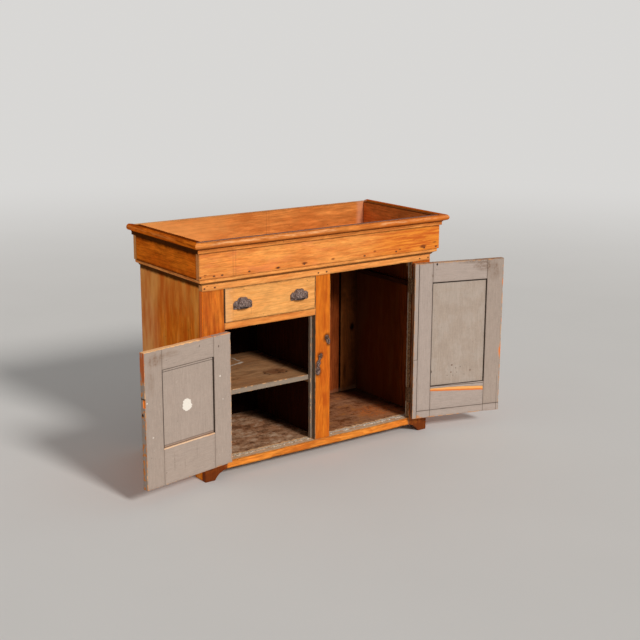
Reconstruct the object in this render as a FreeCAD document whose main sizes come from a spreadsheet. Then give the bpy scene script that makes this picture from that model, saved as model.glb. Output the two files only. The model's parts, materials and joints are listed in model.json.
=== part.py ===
import FreeCAD, Part
import math
import os
import re
import Sketcher

# Dry sink: a pine cupboard with an open well on top, two panelled doors and one drawer.
# Frame: X right, Y back, Z up, millimetres; the origin is on the floor under the middle of the case.
# Each door is drawn shut in its own frame at its hinge axis and placed open.

doc = FreeCAD.newDocument("DrySink")

SIZES = {
    # Case
    "case_width": 1120,
    "case_depth": 494,
    "case_height": 809,
    "board_thickness": 22,
    "back_thickness": 16,
    "back_rabbet": 11,
    "narrow_plank_width": 112,
    "back_plank_count": 4,
    # Face frame
    "frame_thickness": 24,
    "left_stile_width": 97,
    "centre_stile_width": 73,
    "right_stile_width": 100,
    "left_bay_width": 425,
    "frieze_height": 50,
    "drawer_opening_height": 134.3,
    "drawer_rail_height": 26.2,
    "bottom_rail_height": 32.6,
    # Feet
    "foot_height": 37.4,
    "stile_foot_width": 43,
    "side_foot_front": 53,
    "side_foot_back": 47,
    "foot_flare": 54,
    "foot_arc": 74.8,
    # Inside the case
    "floor_rise": 2,
    "partition_thickness": 20,
    "shelf_thickness": 21,
    "shelf_top": 342,
    "cleat_size": 20,
    "bottom_cleat_height": 12,
    "stop_width": 20,
    "stop_thickness": 15,
    "stop_reach": 8,
    "batten_bottom": 632,
    "batten_size": 20,
    "block_thickness": 20,
    "block_lap": 24,
    "block_drop": 4,
    "block_inset": 7,
    # Drawer carcass parts
    "runner_height": 20,
    "runner_reach": 23,
    "centre_runner_reach": 32,
    "guide_width": 20,
    "guide_height": 30,
    "drawer_gap": 1.2,
    "drawer_running_gap": 0.3,
    "drawer_back_gap": 8,
    "drawer_front_thickness": 20,
    "drawer_front_rabbet": 10,
    "drawer_side_thickness": 12,
    "drawer_side_height": 125,
    "drawer_back_height": 104,
    "drawer_bottom_thickness": 8,
    "drawer_bottom_lift": 8,
    "drawer_groove": 6,
    # Pulls
    "pull_spacing": 264,
    "pull_width": 86,
    "pull_plate_height": 26,
    "pull_plate_thickness": 2.5,
    "pull_lift": 48,
    "pull_dome_width": 52,
    "pull_dome_height": 45,
    "pull_dome_reach": 22,
    "pull_shoulder_width": 70,
    "pull_shoulder_height": 31,
    "pull_shoulder_reach": 16,
    "pull_wall": 2.6,
    "pull_screw_inset": 4.5,
    "pull_screw_lift": 9,
    "pull_screw_head": 3,
    "pull_screw_shank": 1.6,
    "pull_screw_length": 14,
    # Well
    "well_overhang": 26,
    "well_board": 22,
    "well_wall_height": 142,
    "well_floor_thickness": 20,
    "well_floor_count": 3,
    # Rim moulding: depths from the band's face, lifts from the moulding's underside
    "rim_lap": 41,
    "rim_lip_depth": 7,
    "rim_lip_lift": 8,
    "rim_cove_depth": 13,
    "rim_cove_lift": 18,
    "rim_cove_arc": 9,
    "rim_step_depth": 22.5,
    "rim_step_lift": 21,
    "rim_torus_arc": 12.5,
    "rim_top_depth": 15,
    "rim_top_lift": 44.5,
    "rim_back_lift": 42,
    # Bed moulding: depths from the case's face, drops from its top
    "bed_depth": 20,
    "bed_lip_drop": 8,
    "bed_round_depth": 15.5,
    "bed_round_drop": 15,
    "bed_round_arc": 6,
    "bed_cove_depth": 4,
    "bed_cove_drop": 25,
    "bed_cove_arc": 14,
    "bed_drop": 27,
    "mitre_margin": 10,
    # Doors
    "door_gap": 3,
    "door_thickness": 23.4,
    "left_door_angle": 169,
    "right_door_angle": 164.4,
    "left_hinge_stile_width": 86.5,
    "left_free_stile_width": 82.5,
    "left_top_rail_height": 79.5,
    "left_bottom_rail_height": 143,
    "right_hinge_stile_width": 83.5,
    "right_free_stile_width": 78.5,
    "right_top_rail_height": 86,
    "right_bottom_rail_height": 139,
    "edge_strip_width": 20,
    "bottom_strip_height": 33,
    "panel_thickness": 9,
    "panel_recess": 7,
    "panel_groove": 9,
    "tenon_length": 35,
    "tenon_shoulder": 20,
    "notch_bottom": 390,
    "notch_height": 30,
    "notch_depth": 2.5,
    "notch_reach": 11,
    # Butt hinges
    "hinge_height": 64,
    "hinge_proud": 4.5,
    "left_hinge_inset": 75,
    "right_hinge_inset": 100,
    "knuckle_radius": 4,
    "knuckle_count": 5,
    "knuckle_gap": 0.4,
    "pin_radius": 2.2,
    "pin_clearance": 0.05,
    "pin_head_radius": 3.4,
    "pin_head_height": 1.6,
    "leaf_thickness": 2,
    "leaf_split": 0.3,
    "leaf_reach": 26,
    "leaf_clearance": 0.4,
    "hinge_screw_head": 3.6,
    "hinge_screw_shank": 1.75,
    "hinge_screw_length": 14,
    "hinge_screw_spacing": 21,
    "hinge_screw_setback": 15,
    "hinge_screw_stagger": 3,
    # Turn catches
    "catch_thickness": 5,
    "catch_gap": 0.3,
    "catch_pivot_radius": 2.5,
    "catch_bore_clearance": 0.05,
    "catch_pivot_head": 6,
    "catch_pivot_head_height": 2.5,
    "catch_pivot_length": 14,
    "left_catch_across": 24,
    "left_catch_height": 424,
    "left_catch_angle": 11.75,
    "left_catch_eye": 10,
    "left_catch_waist": 7,
    "left_catch_waist_drop": 26,
    "left_catch_knob": 11,
    "left_catch_knob_drop": 62,
    "left_catch_tip": 4.5,
    "left_catch_tip_drop": 77,
    "right_catch_across": 54.7,
    "right_catch_height": 499,
    "right_catch_angle": 26.2,
    "right_catch_eye": 9,
    "right_catch_waist": 6,
    "right_catch_waist_drop": 17,
    "right_catch_tail": 5,
    "right_catch_tail_drop": 31,
    "catch_bar_width": 8,
    # Nails
    "nail_head": 3,
    "nail_head_height": 0.8,
    "nail_proud": 0.2,
    "nail_shank": 1.3,
    "nail_length": 40,
    "frieze_nail_drop": 40,
    "band_nail_lift": 10,
    "side_nail_inset": 11,
}

sheet = doc.addObject("Spreadsheet::Sheet", "Sizes")
for row, (alias, size) in enumerate(SIZES.items(), 1):
    sheet.set(f"A{row}", alias)
    sheet.set(f"B{row}", str(size))
    sheet.setAlias(f"B{row}", alias)
doc.recompute()

# ---------------------------------------------------------------- places worked out from the sizes

LEFT = "(-case_width / 2)"
RIGHT = "(case_width / 2)"
FRONT = "(-case_depth / 2)"
BACK = "(case_depth / 2)"
INSIDE_LEFT = f"({LEFT} + board_thickness)"
INSIDE_RIGHT = f"({RIGHT} - board_thickness)"
FRAME_BACK = f"({FRONT} + frame_thickness)"
PLANK_FRONT = f"({BACK} - back_thickness)"
PLANKS_LEFT = f"({LEFT} + back_rabbet)"
PLANKS_RIGHT = f"({RIGHT} - back_rabbet)"
BAY_LEFT = f"({LEFT} + left_stile_width)"
BAY_RIGHT = f"({RIGHT} - right_stile_width)"
POST_LEFT = f"({BAY_LEFT} + left_bay_width)"
POST_RIGHT = f"({POST_LEFT} + centre_stile_width)"
PARTITION_LEFT = f"({POST_LEFT} + (centre_stile_width - partition_thickness) / 2)"
PARTITION_RIGHT = f"({PARTITION_LEFT} + partition_thickness)"

TOP = "case_height"
FRIEZE = "(case_height - frieze_height)"
RAIL_TOP = f"({FRIEZE} - drawer_opening_height)"
RAIL_BOTTOM = f"({RAIL_TOP} - drawer_rail_height)"
SILL = "(foot_height + bottom_rail_height)"
FLOOR = f"({SILL} + floor_rise)"
FLOOR_UNDER = f"({FLOOR} - board_thickness)"

STOP_BACK = f"({FRAME_BACK} + stop_thickness)"
SHELF_UNDER = "(shelf_top - shelf_thickness)"

BAND_LEFT = f"({LEFT} - well_overhang)"
BAND_RIGHT = f"({RIGHT} + well_overhang)"
BAND_FRONT = f"({FRONT} - well_overhang)"
WELL_LEFT = f"({BAND_LEFT} + well_board)"
WELL_RIGHT = f"({BAND_RIGHT} - well_board)"
WELL_FRONT = f"({BAND_FRONT} + well_board)"
WELL_BACK = f"({BACK} - well_board)"
WELL_TOP = f"({TOP} + well_wall_height)"
WELL_FLOOR = f"({TOP} + well_floor_thickness)"

AXIS_Y = f"({FRONT} - hinge_proud)"
DOOR_UNDER = f"({SILL} + door_gap)"
DOOR_TOP = {"left": f"({RAIL_BOTTOM} - door_gap)", "right": f"({FRIEZE} - door_gap)"}
AXIS_X = {"left": f"({BAY_LEFT} + door_gap / 2)", "right": f"({BAY_RIGHT} - door_gap / 2)"}


# ---------------------------------------------------------------- small makers

def formula(text):
    """Name the sheet in front of each alias of a formula."""
    return re.sub(r"\b[a-z]\w*", lambda word: "Sizes." + word[0] if word[0] in SIZES else word[0], text)


def value(text):
    """The number that a formula gives now."""
    return float(sheet.evalExpression(formula(text)))


def shift(x, y, z, axis="0; 0; 1", turn="0"):
    """A placement formula: a move, with a turn about an axis."""
    return f"placement(vector({x}; {y}; {z}); rotation(vector({axis}); {turn}))"


def place(thing, *moves):
    """Bind a thing's placement to its moves, the outermost first."""
    wanted = [move for move in moves if move]
    if wanted:
        thing.setExpression("Placement", formula(" * ".join(wanted)))
    return thing


def bind(thing, **sizes):
    """Bind a thing's properties to formulas."""
    for name, text in sizes.items():
        thing.setExpression(name, formula(text))
    return thing


def board(label, x_span, y_span, z_span, frame=None):
    """A plain board between two faces on each axis."""
    piece = doc.addObject("Part::Box", label)
    bind(piece,
         Length=f"{x_span[1]} - {x_span[0]}",
         Width=f"{y_span[1]} - {y_span[0]}",
         Height=f"{z_span[1]} - {z_span[0]}")
    return place(piece, frame, shift(x_span[0], y_span[0], z_span[0]))


def rod(label, radius, length, *moves):
    """A round bar from its foot along its own Z."""
    piece = doc.addObject("Part::Cylinder", label)
    bind(piece, Radius=radius, Height=length)
    return place(piece, *moves)


def group(label, pieces, frame=None):
    """Separate solids kept as one sub-part."""
    together = doc.addObject("Part::Compound", label)
    together.Links = pieces
    return place(together, frame)


def fuse(label, pieces, frame=None):
    """Pieces joined into one solid."""
    joined = doc.addObject("Part::MultiFuse", label)
    joined.Shapes = pieces
    return place(joined, frame)


def cut(label, base, tools, frame=None):
    """A piece less its cuts."""
    tool = tools[0] if len(tools) == 1 else group(label + "_cuts", tools)
    carved = doc.addObject("Part::Cut", label)
    carved.Base = base
    carved.Tool = tool
    return place(carved, frame)


def mirror(label, source):
    """The same piece on the other side of the case's middle plane."""
    twin = doc.addObject("Part::Mirroring", label)
    twin.Source = source
    twin.Normal = FreeCAD.Vector(1, 0, 0)
    return twin


def origin_plane(body, role):
    return next(plane for plane in body.Origin.OriginFeatures if plane.Role == role)


def arc_edge(start, end, radius, side):
    """The short arc between two points, with its centre left or right of the way along it."""
    chord = end - start
    left = FreeCAD.Vector(-chord.y, chord.x, 0).normalize()
    rise = math.sqrt(max(radius ** 2 - (chord.Length / 2) ** 2, 0))
    centre = (start + end) / 2 + left * (rise if side == "left" else -rise)
    first, last = (start, end) if side == "left" else (end, start)
    angles = [math.atan2(point.y - centre.y, point.x - centre.x) for point in (first, last)]
    circle = Part.Circle(centre, FreeCAD.Vector(0, 0, 1), radius)
    return Part.ArcOfCircle(circle, angles[0], angles[1])


def outline(body, role, corners, offset="0"):
    """A closed sketch. A corner is (x, y), or (x, y, side, radius) where an arc leaves it."""
    sketch = body.newObject("Sketcher::SketchObject", body.Label + "_outline")
    sketch.AttachmentSupport = [(origin_plane(body, role), "")]
    sketch.MapMode = "FlatFace"
    sketch.setExpression("AttachmentOffset.Base.z", formula(offset))
    points = [FreeCAD.Vector(value(corner[0]), value(corner[1]), 0) for corner in corners]
    ends = []
    for index, corner in enumerate(corners):
        start = points[index]
        end = points[(index + 1) % len(points)]
        if len(corner) == 2:
            edge = sketch.addGeometry(Part.LineSegment(start, end))
            ends.append((edge, 1, 2))
            continue
        side, radius = corner[2:]
        edge = sketch.addGeometry(arc_edge(start, end, value(radius), side))
        ends.append((edge, 1, 2) if side == "left" else (edge, 2, 1))
        number = sketch.addConstraint(Sketcher.Constraint("Radius", edge, value(radius)))
        sketch.renameConstraint(number, f"arc_{index}")
        sketch.setExpression(f"Constraints.arc_{index}", formula(radius))
    for index, (edge, first, last) in enumerate(ends):
        following, next_first, _ = ends[(index + 1) % len(ends)]
        sketch.addConstraint(Sketcher.Constraint("Coincident", edge, last, following, next_first))
        for kind, text, place_now in (("DistanceX", corners[index][0], points[index].x),
                                      ("DistanceY", corners[index][1], points[index].y)):
            number = sketch.addConstraint(Sketcher.Constraint(kind, -1, 1, edge, first, place_now))
            name = f"{'across' if kind == 'DistanceX' else 'up'}_{index}"
            sketch.renameConstraint(number, name)
            sketch.setExpression(f"Constraints.{name}", formula(text))
    return sketch


def profile_body(label, role, corners, offset, length):
    """A body whose outline is padded from one plane."""
    body = doc.addObject("PartDesign::Body", label)
    sketch = outline(body, role, corners, offset)
    pad = body.newObject("PartDesign::Pad", label + "_pad")
    pad.Profile = sketch
    pad.setExpression("Length", formula(length))
    body.Tip = pad
    doc.recompute()
    return body


def pocket(body, role, corners, offset, depth):
    """An outline cut down from its plane."""
    sketch = outline(body, role, corners, offset)
    slot = body.newObject("PartDesign::Pocket", body.Label + "_pocket")
    slot.Profile = sketch
    slot.setExpression("Length", formula(depth))
    body.Tip = slot
    doc.recompute()


# ---------------------------------------------------------------- nails

BAND_NAILS = (-0.99, -0.89, -0.83, -0.625, -0.4, -0.19, 0.32, 0.6, 0.86, 0.97)


def nail(label, x, y, z):
    """A cut nail driven back from a front face at y."""
    turned = shift(x, f"{y} - nail_proud", z, "1; 0; 0", "-90")
    head = rod(label + "_head", "nail_head", "nail_head_height", turned)
    shank = rod(label + "_shank", "nail_shank", "nail_length", turned)
    return fuse(label, [head, shank])


frieze_nail_places = [
    f"{LEFT} + side_nail_inset",
    f"({INSIDE_LEFT} + {BAY_LEFT} - block_inset) / 2",
    f"({POST_LEFT} + {PARTITION_LEFT}) / 2",
    f"({PARTITION_RIGHT} + {POST_RIGHT} - stop_width + stop_reach) / 2",
    f"({INSIDE_RIGHT} + {BAY_RIGHT} + block_inset) / 2",
    f"{RIGHT} - side_nail_inset",
]
frieze_nails = []
for number, across in enumerate(frieze_nail_places):
    frieze_nails.append(nail(f"frieze_nail_{number}", across, FRONT, f"{TOP} - frieze_nail_drop"))
band_nails = []
for number, share in enumerate(BAND_NAILS):
    across = f"{BAND_RIGHT} * {share}"
    band_nails.append(nail(f"band_nail_{number}", across, BAND_FRONT, f"{TOP} + band_nail_lift"))
case_nails = group("case_nails", frieze_nails + band_nails)


# ---------------------------------------------------------------- hinges

def hinge(side, name, height, owner):
    """One leaf with its knuckles, in the frame of its hinge axis, and its screws."""
    label = f"{side}_{owner}_{name}"
    toward = {("left", "case"): -1, ("left", "door"): 1, ("right", "case"): 1, ("right", "door"): -1}
    way = toward[side, owner]
    near = f"({way} * leaf_split)"
    far = f"({way} * (leaf_split + leaf_thickness))"
    x_span = (near, far) if way > 0 else (far, near)
    bottom = f"({height} - hinge_height / 2)"
    pitch = "(hinge_height / knuckle_count)"
    clear = "(knuckle_radius + leaf_clearance)"
    pieces = [board(label + "_plate", x_span, (clear, "leaf_reach"), (bottom, f"{bottom} + hinge_height"))]
    first = 0 if owner == "case" else 1
    for index in range(first, SIZES["knuckle_count"], 2):
        low = f"({bottom} + {pitch} * {index} + knuckle_gap / 2)"
        high = f"({low} + {pitch} - knuckle_gap)"
        pieces.append(rod(f"{label}_knuckle_{index}", "knuckle_radius", f"{high} - {low}",
                          shift("0", "0", low)))
        pieces.append(board(f"{label}_tab_{index}", x_span, ("0", clear), (low, high)))
    bore = rod(label + "_bore", "pin_radius + pin_clearance", "hinge_height", shift("0", "0", bottom))
    screws = [hinge_screw(label, index, way, height) for index in (-1, 0, 1)]
    leaf = cut(label + "_leaf", fuse(label + "_blank", pieces), [bore] + screws)
    return leaf, screws


def hinge_screw(label, index, way, height):
    """A countersunk screw through a leaf, flush with its open face."""
    across = f"{way} * leaf_split"
    back = f"hinge_screw_setback + {index * index} * hinge_screw_stagger"
    up = f"{height} + {index} * hinge_screw_spacing"
    turned = shift(across, back, up, "0; 1; 0", f"{way} * 90")
    head = doc.addObject("Part::Cone", f"{label}_screw_head_{index + 1}")
    bind(head, Radius1="hinge_screw_head", Radius2="hinge_screw_shank", Height="leaf_thickness")
    place(head, turned)
    shank = rod(f"{label}_screw_shank_{index + 1}", "hinge_screw_shank", "hinge_screw_length", turned)
    return fuse(f"{label}_screw_{index + 1}", [head, shank])


def hinge_pin(side, name, height):
    """The pin through all the knuckles, with its head on top."""
    label = f"{side}_{name}_pin"
    bottom = f"{height} - hinge_height / 2"
    stem = rod(f"{label}_stem", "pin_radius", "hinge_height", shift("0", "0", bottom))
    head = rod(f"{label}_head", "pin_head_radius", "pin_head_height",
               shift("0", "0", f"{height} + hinge_height / 2"))
    return fuse(label, [stem, head])


DOOR_FRAME = {
    "left": shift(AXIS_X["left"], AXIS_Y, "0", turn="-left_door_angle"),
    "right": shift(AXIS_X["right"], AXIS_Y, "0", turn="right_door_angle"),
}
case_leaf_groups = {}
case_screw_groups = {}
pin_groups = {}
door_leaves = {}
door_screws = {}
for side in ("left", "right"):
    standing = shift(AXIS_X[side], AXIS_Y, "0")
    case_leaves = []
    case_screws = []
    pins = []
    door_leaves[side] = []
    door_screws[side] = []
    hinge_heights = {
        "low": f"({DOOR_UNDER} + {side}_hinge_inset)",
        "high": f"({DOOR_TOP[side]} - {side}_hinge_inset)",
    }
    for name, height in hinge_heights.items():
        leaf, screws = hinge(side, name, height, "case")
        case_leaves.append(leaf)
        case_screws += screws
        leaf, screws = hinge(side, name, height, "door")
        door_leaves[side].append(leaf)
        door_screws[side] += screws
        pins.append(hinge_pin(side, name, height))
    case_leaf_groups[side] = group(f"{side}_case_leaves", case_leaves, standing)
    case_screw_groups[side] = group(f"{side}_case_screws", case_screws, standing)
    pin_groups[side] = group(f"{side}_pins", pins, standing)
case_hinge_leaves = group("case_hinge_leaves", list(case_leaf_groups.values()))
case_hinge_screws = group("case_hinge_screws", list(case_screw_groups.values()))
hinge_pins = group("hinge_pins", list(pin_groups.values()))


# ---------------------------------------------------------------- turn catches

def disc(label, radius, drop, clear="0"):
    """A round lobe of a catch, below its pivot; the catch's back face is at its local y 0."""
    return rod(label, radius, f"catch_thickness + 2 * {clear}",
               shift("0", clear, f"-{drop}", "1; 0; 0", "90"))


def catch(side, lobes, frame):
    """Lobes strung on a bar, with a bore for the pivot."""
    label = f"{side}_catch"
    pieces = [disc(f"{label}_lobe_{number}", radius, drop) for number, (radius, drop) in enumerate(lobes)]
    last_drop = lobes[-1][1]
    half_bar = "(catch_bar_width / 2)"
    pieces.append(board(f"{label}_bar", (f"-{half_bar}", half_bar), ("-catch_thickness", "0"),
                        (f"-{last_drop}", "0")))
    bore = disc(f"{label}_bore", "catch_pivot_radius + catch_bore_clearance", "0", "catch_gap")
    return cut(label, fuse(f"{label}_blank", pieces), [bore], frame)


def catch_pivot(side, across, height):
    """The screw that a catch turns on, from its head back into the stile."""
    face = f"({FRONT} - 2 * catch_gap - catch_thickness)"
    shank = rod(f"{side}_catch_shank", "catch_pivot_radius",
                "catch_thickness + 2 * catch_gap + catch_pivot_length",
                shift(across, face, height, "1; 0; 0", "-90"))
    head = rod(f"{side}_catch_head", "catch_pivot_head", "catch_pivot_head_height",
               shift(across, face, height, "1; 0; 0", "90"))
    return fuse(f"{side}_catch_pivot", [shank, head])


LEFT_CATCH = (f"({POST_LEFT} + left_catch_across)", "left_catch_height")
RIGHT_CATCH = (f"({POST_LEFT} + right_catch_across)", "right_catch_height")
CATCH_BACK = f"{FRONT} - catch_gap"
left_catch = catch(
    "left",
    [("left_catch_eye", "0"), ("left_catch_waist", "left_catch_waist_drop"),
     ("left_catch_knob", "left_catch_knob_drop"), ("left_catch_tip", "left_catch_tip_drop")],
    shift(LEFT_CATCH[0], CATCH_BACK, LEFT_CATCH[1], "0; 1; 0", "left_catch_angle"))
right_catch = catch(
    "right",
    [("right_catch_eye", "0"), ("right_catch_waist", "right_catch_waist_drop"),
     ("right_catch_tail", "right_catch_tail_drop")],
    shift(RIGHT_CATCH[0], CATCH_BACK, RIGHT_CATCH[1], "0; 1; 0", "-right_catch_angle"))
catch_pivots = group("catch_pivots", [catch_pivot("left", *LEFT_CATCH), catch_pivot("right", *RIGHT_CATCH)])


# ---------------------------------------------------------------- face frame

def outer_stile(label, side, bay_edge):
    """A corner stile: a straight post whose foot narrows in a curve."""
    way = 1 if side == "left" else -1
    outer = LEFT if side == "left" else RIGHT
    corners = [
        (outer, "0"),
        (f"{outer} + {way} * stile_foot_width", "0", "right" if way > 0 else "left", "foot_arc"),
        (bay_edge, "foot_height"),
        (bay_edge, FRIEZE),
        (outer, FRIEZE),
    ]
    return profile_body(label, "XZ_Plane", corners, f"-{FRAME_BACK}", "frame_thickness")


left_stile = cut(
    "left_stile", outer_stile("left_stile_blank", "left", BAY_LEFT),
    [case_leaf_groups["left"], case_screw_groups["left"]])
right_stile = cut(
    "right_stile", outer_stile("right_stile_blank", "right", BAY_RIGHT),
    [case_leaf_groups["right"], case_screw_groups["right"]])
centre_stile = cut(
    "centre_stile",
    board("centre_stile_blank", (POST_LEFT, POST_RIGHT), (FRONT, FRAME_BACK), (SILL, FRIEZE)),
    [catch_pivots])
top_rail = cut(
    "top_rail", board("top_rail_blank", (LEFT, RIGHT), (FRONT, FRAME_BACK), (FRIEZE, TOP)),
    frieze_nails)
board("drawer_rail", (BAY_LEFT, POST_LEFT), (FRONT, FRAME_BACK), (RAIL_BOTTOM, RAIL_TOP))
board("bottom_rail", (BAY_LEFT, BAY_RIGHT), (FRONT, FRAME_BACK), ("foot_height", SILL))


# ---------------------------------------------------------------- case

side_corners = [
    (FRAME_BACK, "0"),
    (f"{FRAME_BACK} + side_foot_front", "0", "right", "foot_arc"),
    (f"{FRAME_BACK} + side_foot_front + foot_flare", "foot_height"),
    (f"{BACK} - side_foot_back - foot_flare", "foot_height", "right", "foot_arc"),
    (f"{BACK} - side_foot_back", "0"),
    (BACK, "0"),
    (BACK, TOP),
    (FRAME_BACK, TOP),
]
left_side_blank = profile_body("left_side_blank", "YZ_Plane", side_corners, LEFT, "board_thickness")
back_rabbet = board("back_rabbet", (PLANKS_LEFT, INSIDE_LEFT), (PLANK_FRONT, BACK), ("foot_height", TOP))
left_side_shaped = cut("left_side_shaped", left_side_blank, [back_rabbet])
left_side = cut("left_side", left_side_shaped, [frieze_nails[0]])
right_side = cut("right_side", mirror("right_side_shaped", left_side_shaped), [frieze_nails[-1]])

PLANK_WIDTH = f"(({PLANKS_RIGHT} - {PLANKS_LEFT} - narrow_plank_width) / back_plank_count)"
NARROW_START = f"({PLANKS_RIGHT} - narrow_plank_width)"
planks = []
for number in range(SIZES["back_plank_count"]):
    start = f"({PLANKS_LEFT} + {number} * {PLANK_WIDTH})"
    span = (start, f"({start} + {PLANK_WIDTH})")
    planks.append(board(f"back_plank_{number}", span, (PLANK_FRONT, BACK), ("foot_height", TOP)))
planks.append(board("back_plank_narrow", (NARROW_START, PLANKS_RIGHT), (PLANK_FRONT, BACK),
                    ("foot_height", TOP)))
group("back_boards", planks)

MIDDLE_Y = f"(({FRAME_BACK} + {PLANK_FRONT}) / 2)"
group("bottom_boards", [
    board("bottom_board_front", (INSIDE_LEFT, INSIDE_RIGHT), (FRAME_BACK, MIDDLE_Y), (FLOOR_UNDER, FLOOR)),
    board("bottom_board_back", (INSIDE_LEFT, INSIDE_RIGHT), (MIDDLE_Y, PLANK_FRONT), (FLOOR_UNDER, FLOOR)),
])
CLEAT_UNDER = f"({FLOOR_UNDER} - bottom_cleat_height)"
cleat_spans = [
    (INSIDE_LEFT, f"({INSIDE_LEFT} + cleat_size)"),
    (PARTITION_LEFT, PARTITION_RIGHT),
    (f"({INSIDE_RIGHT} - cleat_size)", INSIDE_RIGHT),
]
cleats = [
    board(f"bottom_cleat_{number}", span, (FRAME_BACK, PLANK_FRONT), (CLEAT_UNDER, FLOOR_UNDER))
    for number, span in enumerate(cleat_spans)]
board("centre_partition", (PARTITION_LEFT, PARTITION_RIGHT), (FRAME_BACK, PLANK_FRONT), (FLOOR, TOP))
board("middle_shelf", (INSIDE_LEFT, PARTITION_LEFT), (STOP_BACK, PLANK_FRONT), (SHELF_UNDER, "shelf_top"))
CLEAT_RISE = (f"({SHELF_UNDER} - cleat_size)", SHELF_UNDER)
cleats += [
    board("shelf_cleat_left", (INSIDE_LEFT, f"({INSIDE_LEFT} + cleat_size)"), (STOP_BACK, PLANK_FRONT),
          CLEAT_RISE),
    board("shelf_cleat_right", (f"({PARTITION_LEFT} - cleat_size)", PARTITION_LEFT), (STOP_BACK, PLANK_FRONT),
          CLEAT_RISE),
]
group("cleats", cleats)
STOP_LEFT = f"({POST_LEFT} - stop_reach)"
STOP_RIGHT = f"({POST_RIGHT} + stop_reach)"
group("door_stops", [
    board("door_stop_left", (STOP_LEFT, f"({STOP_LEFT} + stop_width)"), (FRAME_BACK, STOP_BACK),
          (FLOOR, RAIL_BOTTOM)),
    board("door_stop_right", (f"({STOP_RIGHT} - stop_width)", STOP_RIGHT), (FRAME_BACK, STOP_BACK),
          (FLOOR, FRIEZE)),
])
board("right_wall_batten", (f"({INSIDE_RIGHT} - batten_size)", INSIDE_RIGHT), (FRAME_BACK, PLANK_FRONT),
      ("batten_bottom", "(batten_bottom + batten_size)"))

# Blocks glued behind the joint of the frieze and the stiles
block_spans = [
    (INSIDE_LEFT, f"({BAY_LEFT} - block_inset)"),
    (POST_LEFT, PARTITION_LEFT),
    (PARTITION_RIGHT, f"({STOP_RIGHT} - stop_width)"),
    (f"({BAY_RIGHT} + block_inset)", INSIDE_RIGHT),
]
blocks = [
    board(f"frieze_block_{number}", span, (FRAME_BACK, f"({FRAME_BACK} + block_thickness)"),
          (f"({FRIEZE} - block_lap)", f"({TOP} - block_drop)"))
    for number, span in enumerate(block_spans)]
group("frieze_blocks", [
    cut(f"frieze_block_{number}_bored", block, [frieze_nails[number + 1]])
    for number, block in enumerate(blocks)])

# Runners carry the drawer's sides and guides keep it straight
RUNNER_UNDER = f"({RAIL_TOP} - runner_height)"
group("drawer_runners", [
    board("runner_left", (INSIDE_LEFT, f"({BAY_LEFT} + runner_reach)"), (FRAME_BACK, PLANK_FRONT),
          (RUNNER_UNDER, RAIL_TOP)),
    board("runner_right", (f"({POST_LEFT} - centre_runner_reach)", PARTITION_LEFT), (FRAME_BACK, PLANK_FRONT),
          (RUNNER_UNDER, RAIL_TOP)),
])
group("drawer_guides", [
    board("guide_left", (f"({BAY_LEFT} - guide_width)", BAY_LEFT), (FRAME_BACK, PLANK_FRONT),
          (RAIL_TOP, f"({RAIL_TOP} + guide_height)")),
    board("guide_right", (POST_LEFT, PARTITION_LEFT), (FRAME_BACK, PLANK_FRONT),
          (RAIL_TOP, f"({RAIL_TOP} + guide_height)")),
])


# ---------------------------------------------------------------- well

WELL_STEP = f"(({WELL_BACK} - {WELL_FRONT}) / well_floor_count)"
floor_boards = []
for number in range(SIZES["well_floor_count"]):
    start = f"({WELL_FRONT} + {number} * {WELL_STEP})"
    plain = board(f"well_floor_board_{number}", (WELL_LEFT, WELL_RIGHT), (start, f"({start} + {WELL_STEP})"),
                  (TOP, WELL_FLOOR))
    floor_boards.append(cut("well_floor_bored", plain, band_nails) if number == 0 else plain)
group("well_floor", floor_boards)
well_front_board = cut(
    "well_front_board",
    board("well_front_blank", (BAND_LEFT, BAND_RIGHT), (BAND_FRONT, WELL_FRONT), (TOP, WELL_TOP)),
    band_nails)
board("well_back_board", (BAND_LEFT, BAND_RIGHT), (WELL_BACK, BACK), (TOP, WELL_TOP))
for side, span in (("left", (BAND_LEFT, WELL_LEFT)), ("right", (WELL_RIGHT, BAND_RIGHT))):
    plain = board(f"well_{side}_end_blank", span, (WELL_FRONT, WELL_BACK), (TOP, WELL_TOP))
    cut(f"well_{side}_end", plain, band_nails)

# A moulding's corners are (depth, height, ...), with its depth measured out from the face that carries it
RIM_UNDER = f"({WELL_TOP} - rim_lap)"
rim_profile = [
    ("0", RIM_UNDER),
    ("rim_lip_depth", RIM_UNDER),
    ("rim_lip_depth", f"{RIM_UNDER} + rim_lip_lift", "right", "rim_cove_arc"),
    ("rim_cove_depth", f"{RIM_UNDER} + rim_cove_lift"),
    ("rim_step_depth", f"{RIM_UNDER} + rim_step_lift", "left", "rim_torus_arc"),
    ("rim_top_depth", f"{RIM_UNDER} + rim_top_lift"),
    ("0", f"{RIM_UNDER} + rim_back_lift"),
]
bed_profile = [
    ("0", TOP),
    ("bed_depth", TOP),
    ("bed_depth", f"{TOP} - bed_lip_drop", "right", "bed_round_arc"),
    ("bed_round_depth", f"{TOP} - bed_round_drop", "left", "bed_cove_arc"),
    ("bed_cove_depth", f"{TOP} - bed_cove_drop"),
    ("0", f"{TOP} - bed_drop"),
]
OTHER_SIDE = {"left": "right", "right": "left"}


def outward(profile, face):
    """A profile set off to the negative side of a face, so each arc's centre changes side."""
    corners = []
    for depth, lift, *bend in profile:
        turned = [OTHER_SIDE[bend[0]], bend[1]] if bend else []
        corners.append((f"{face} - {depth}", lift, *turned))
    return corners


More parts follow.
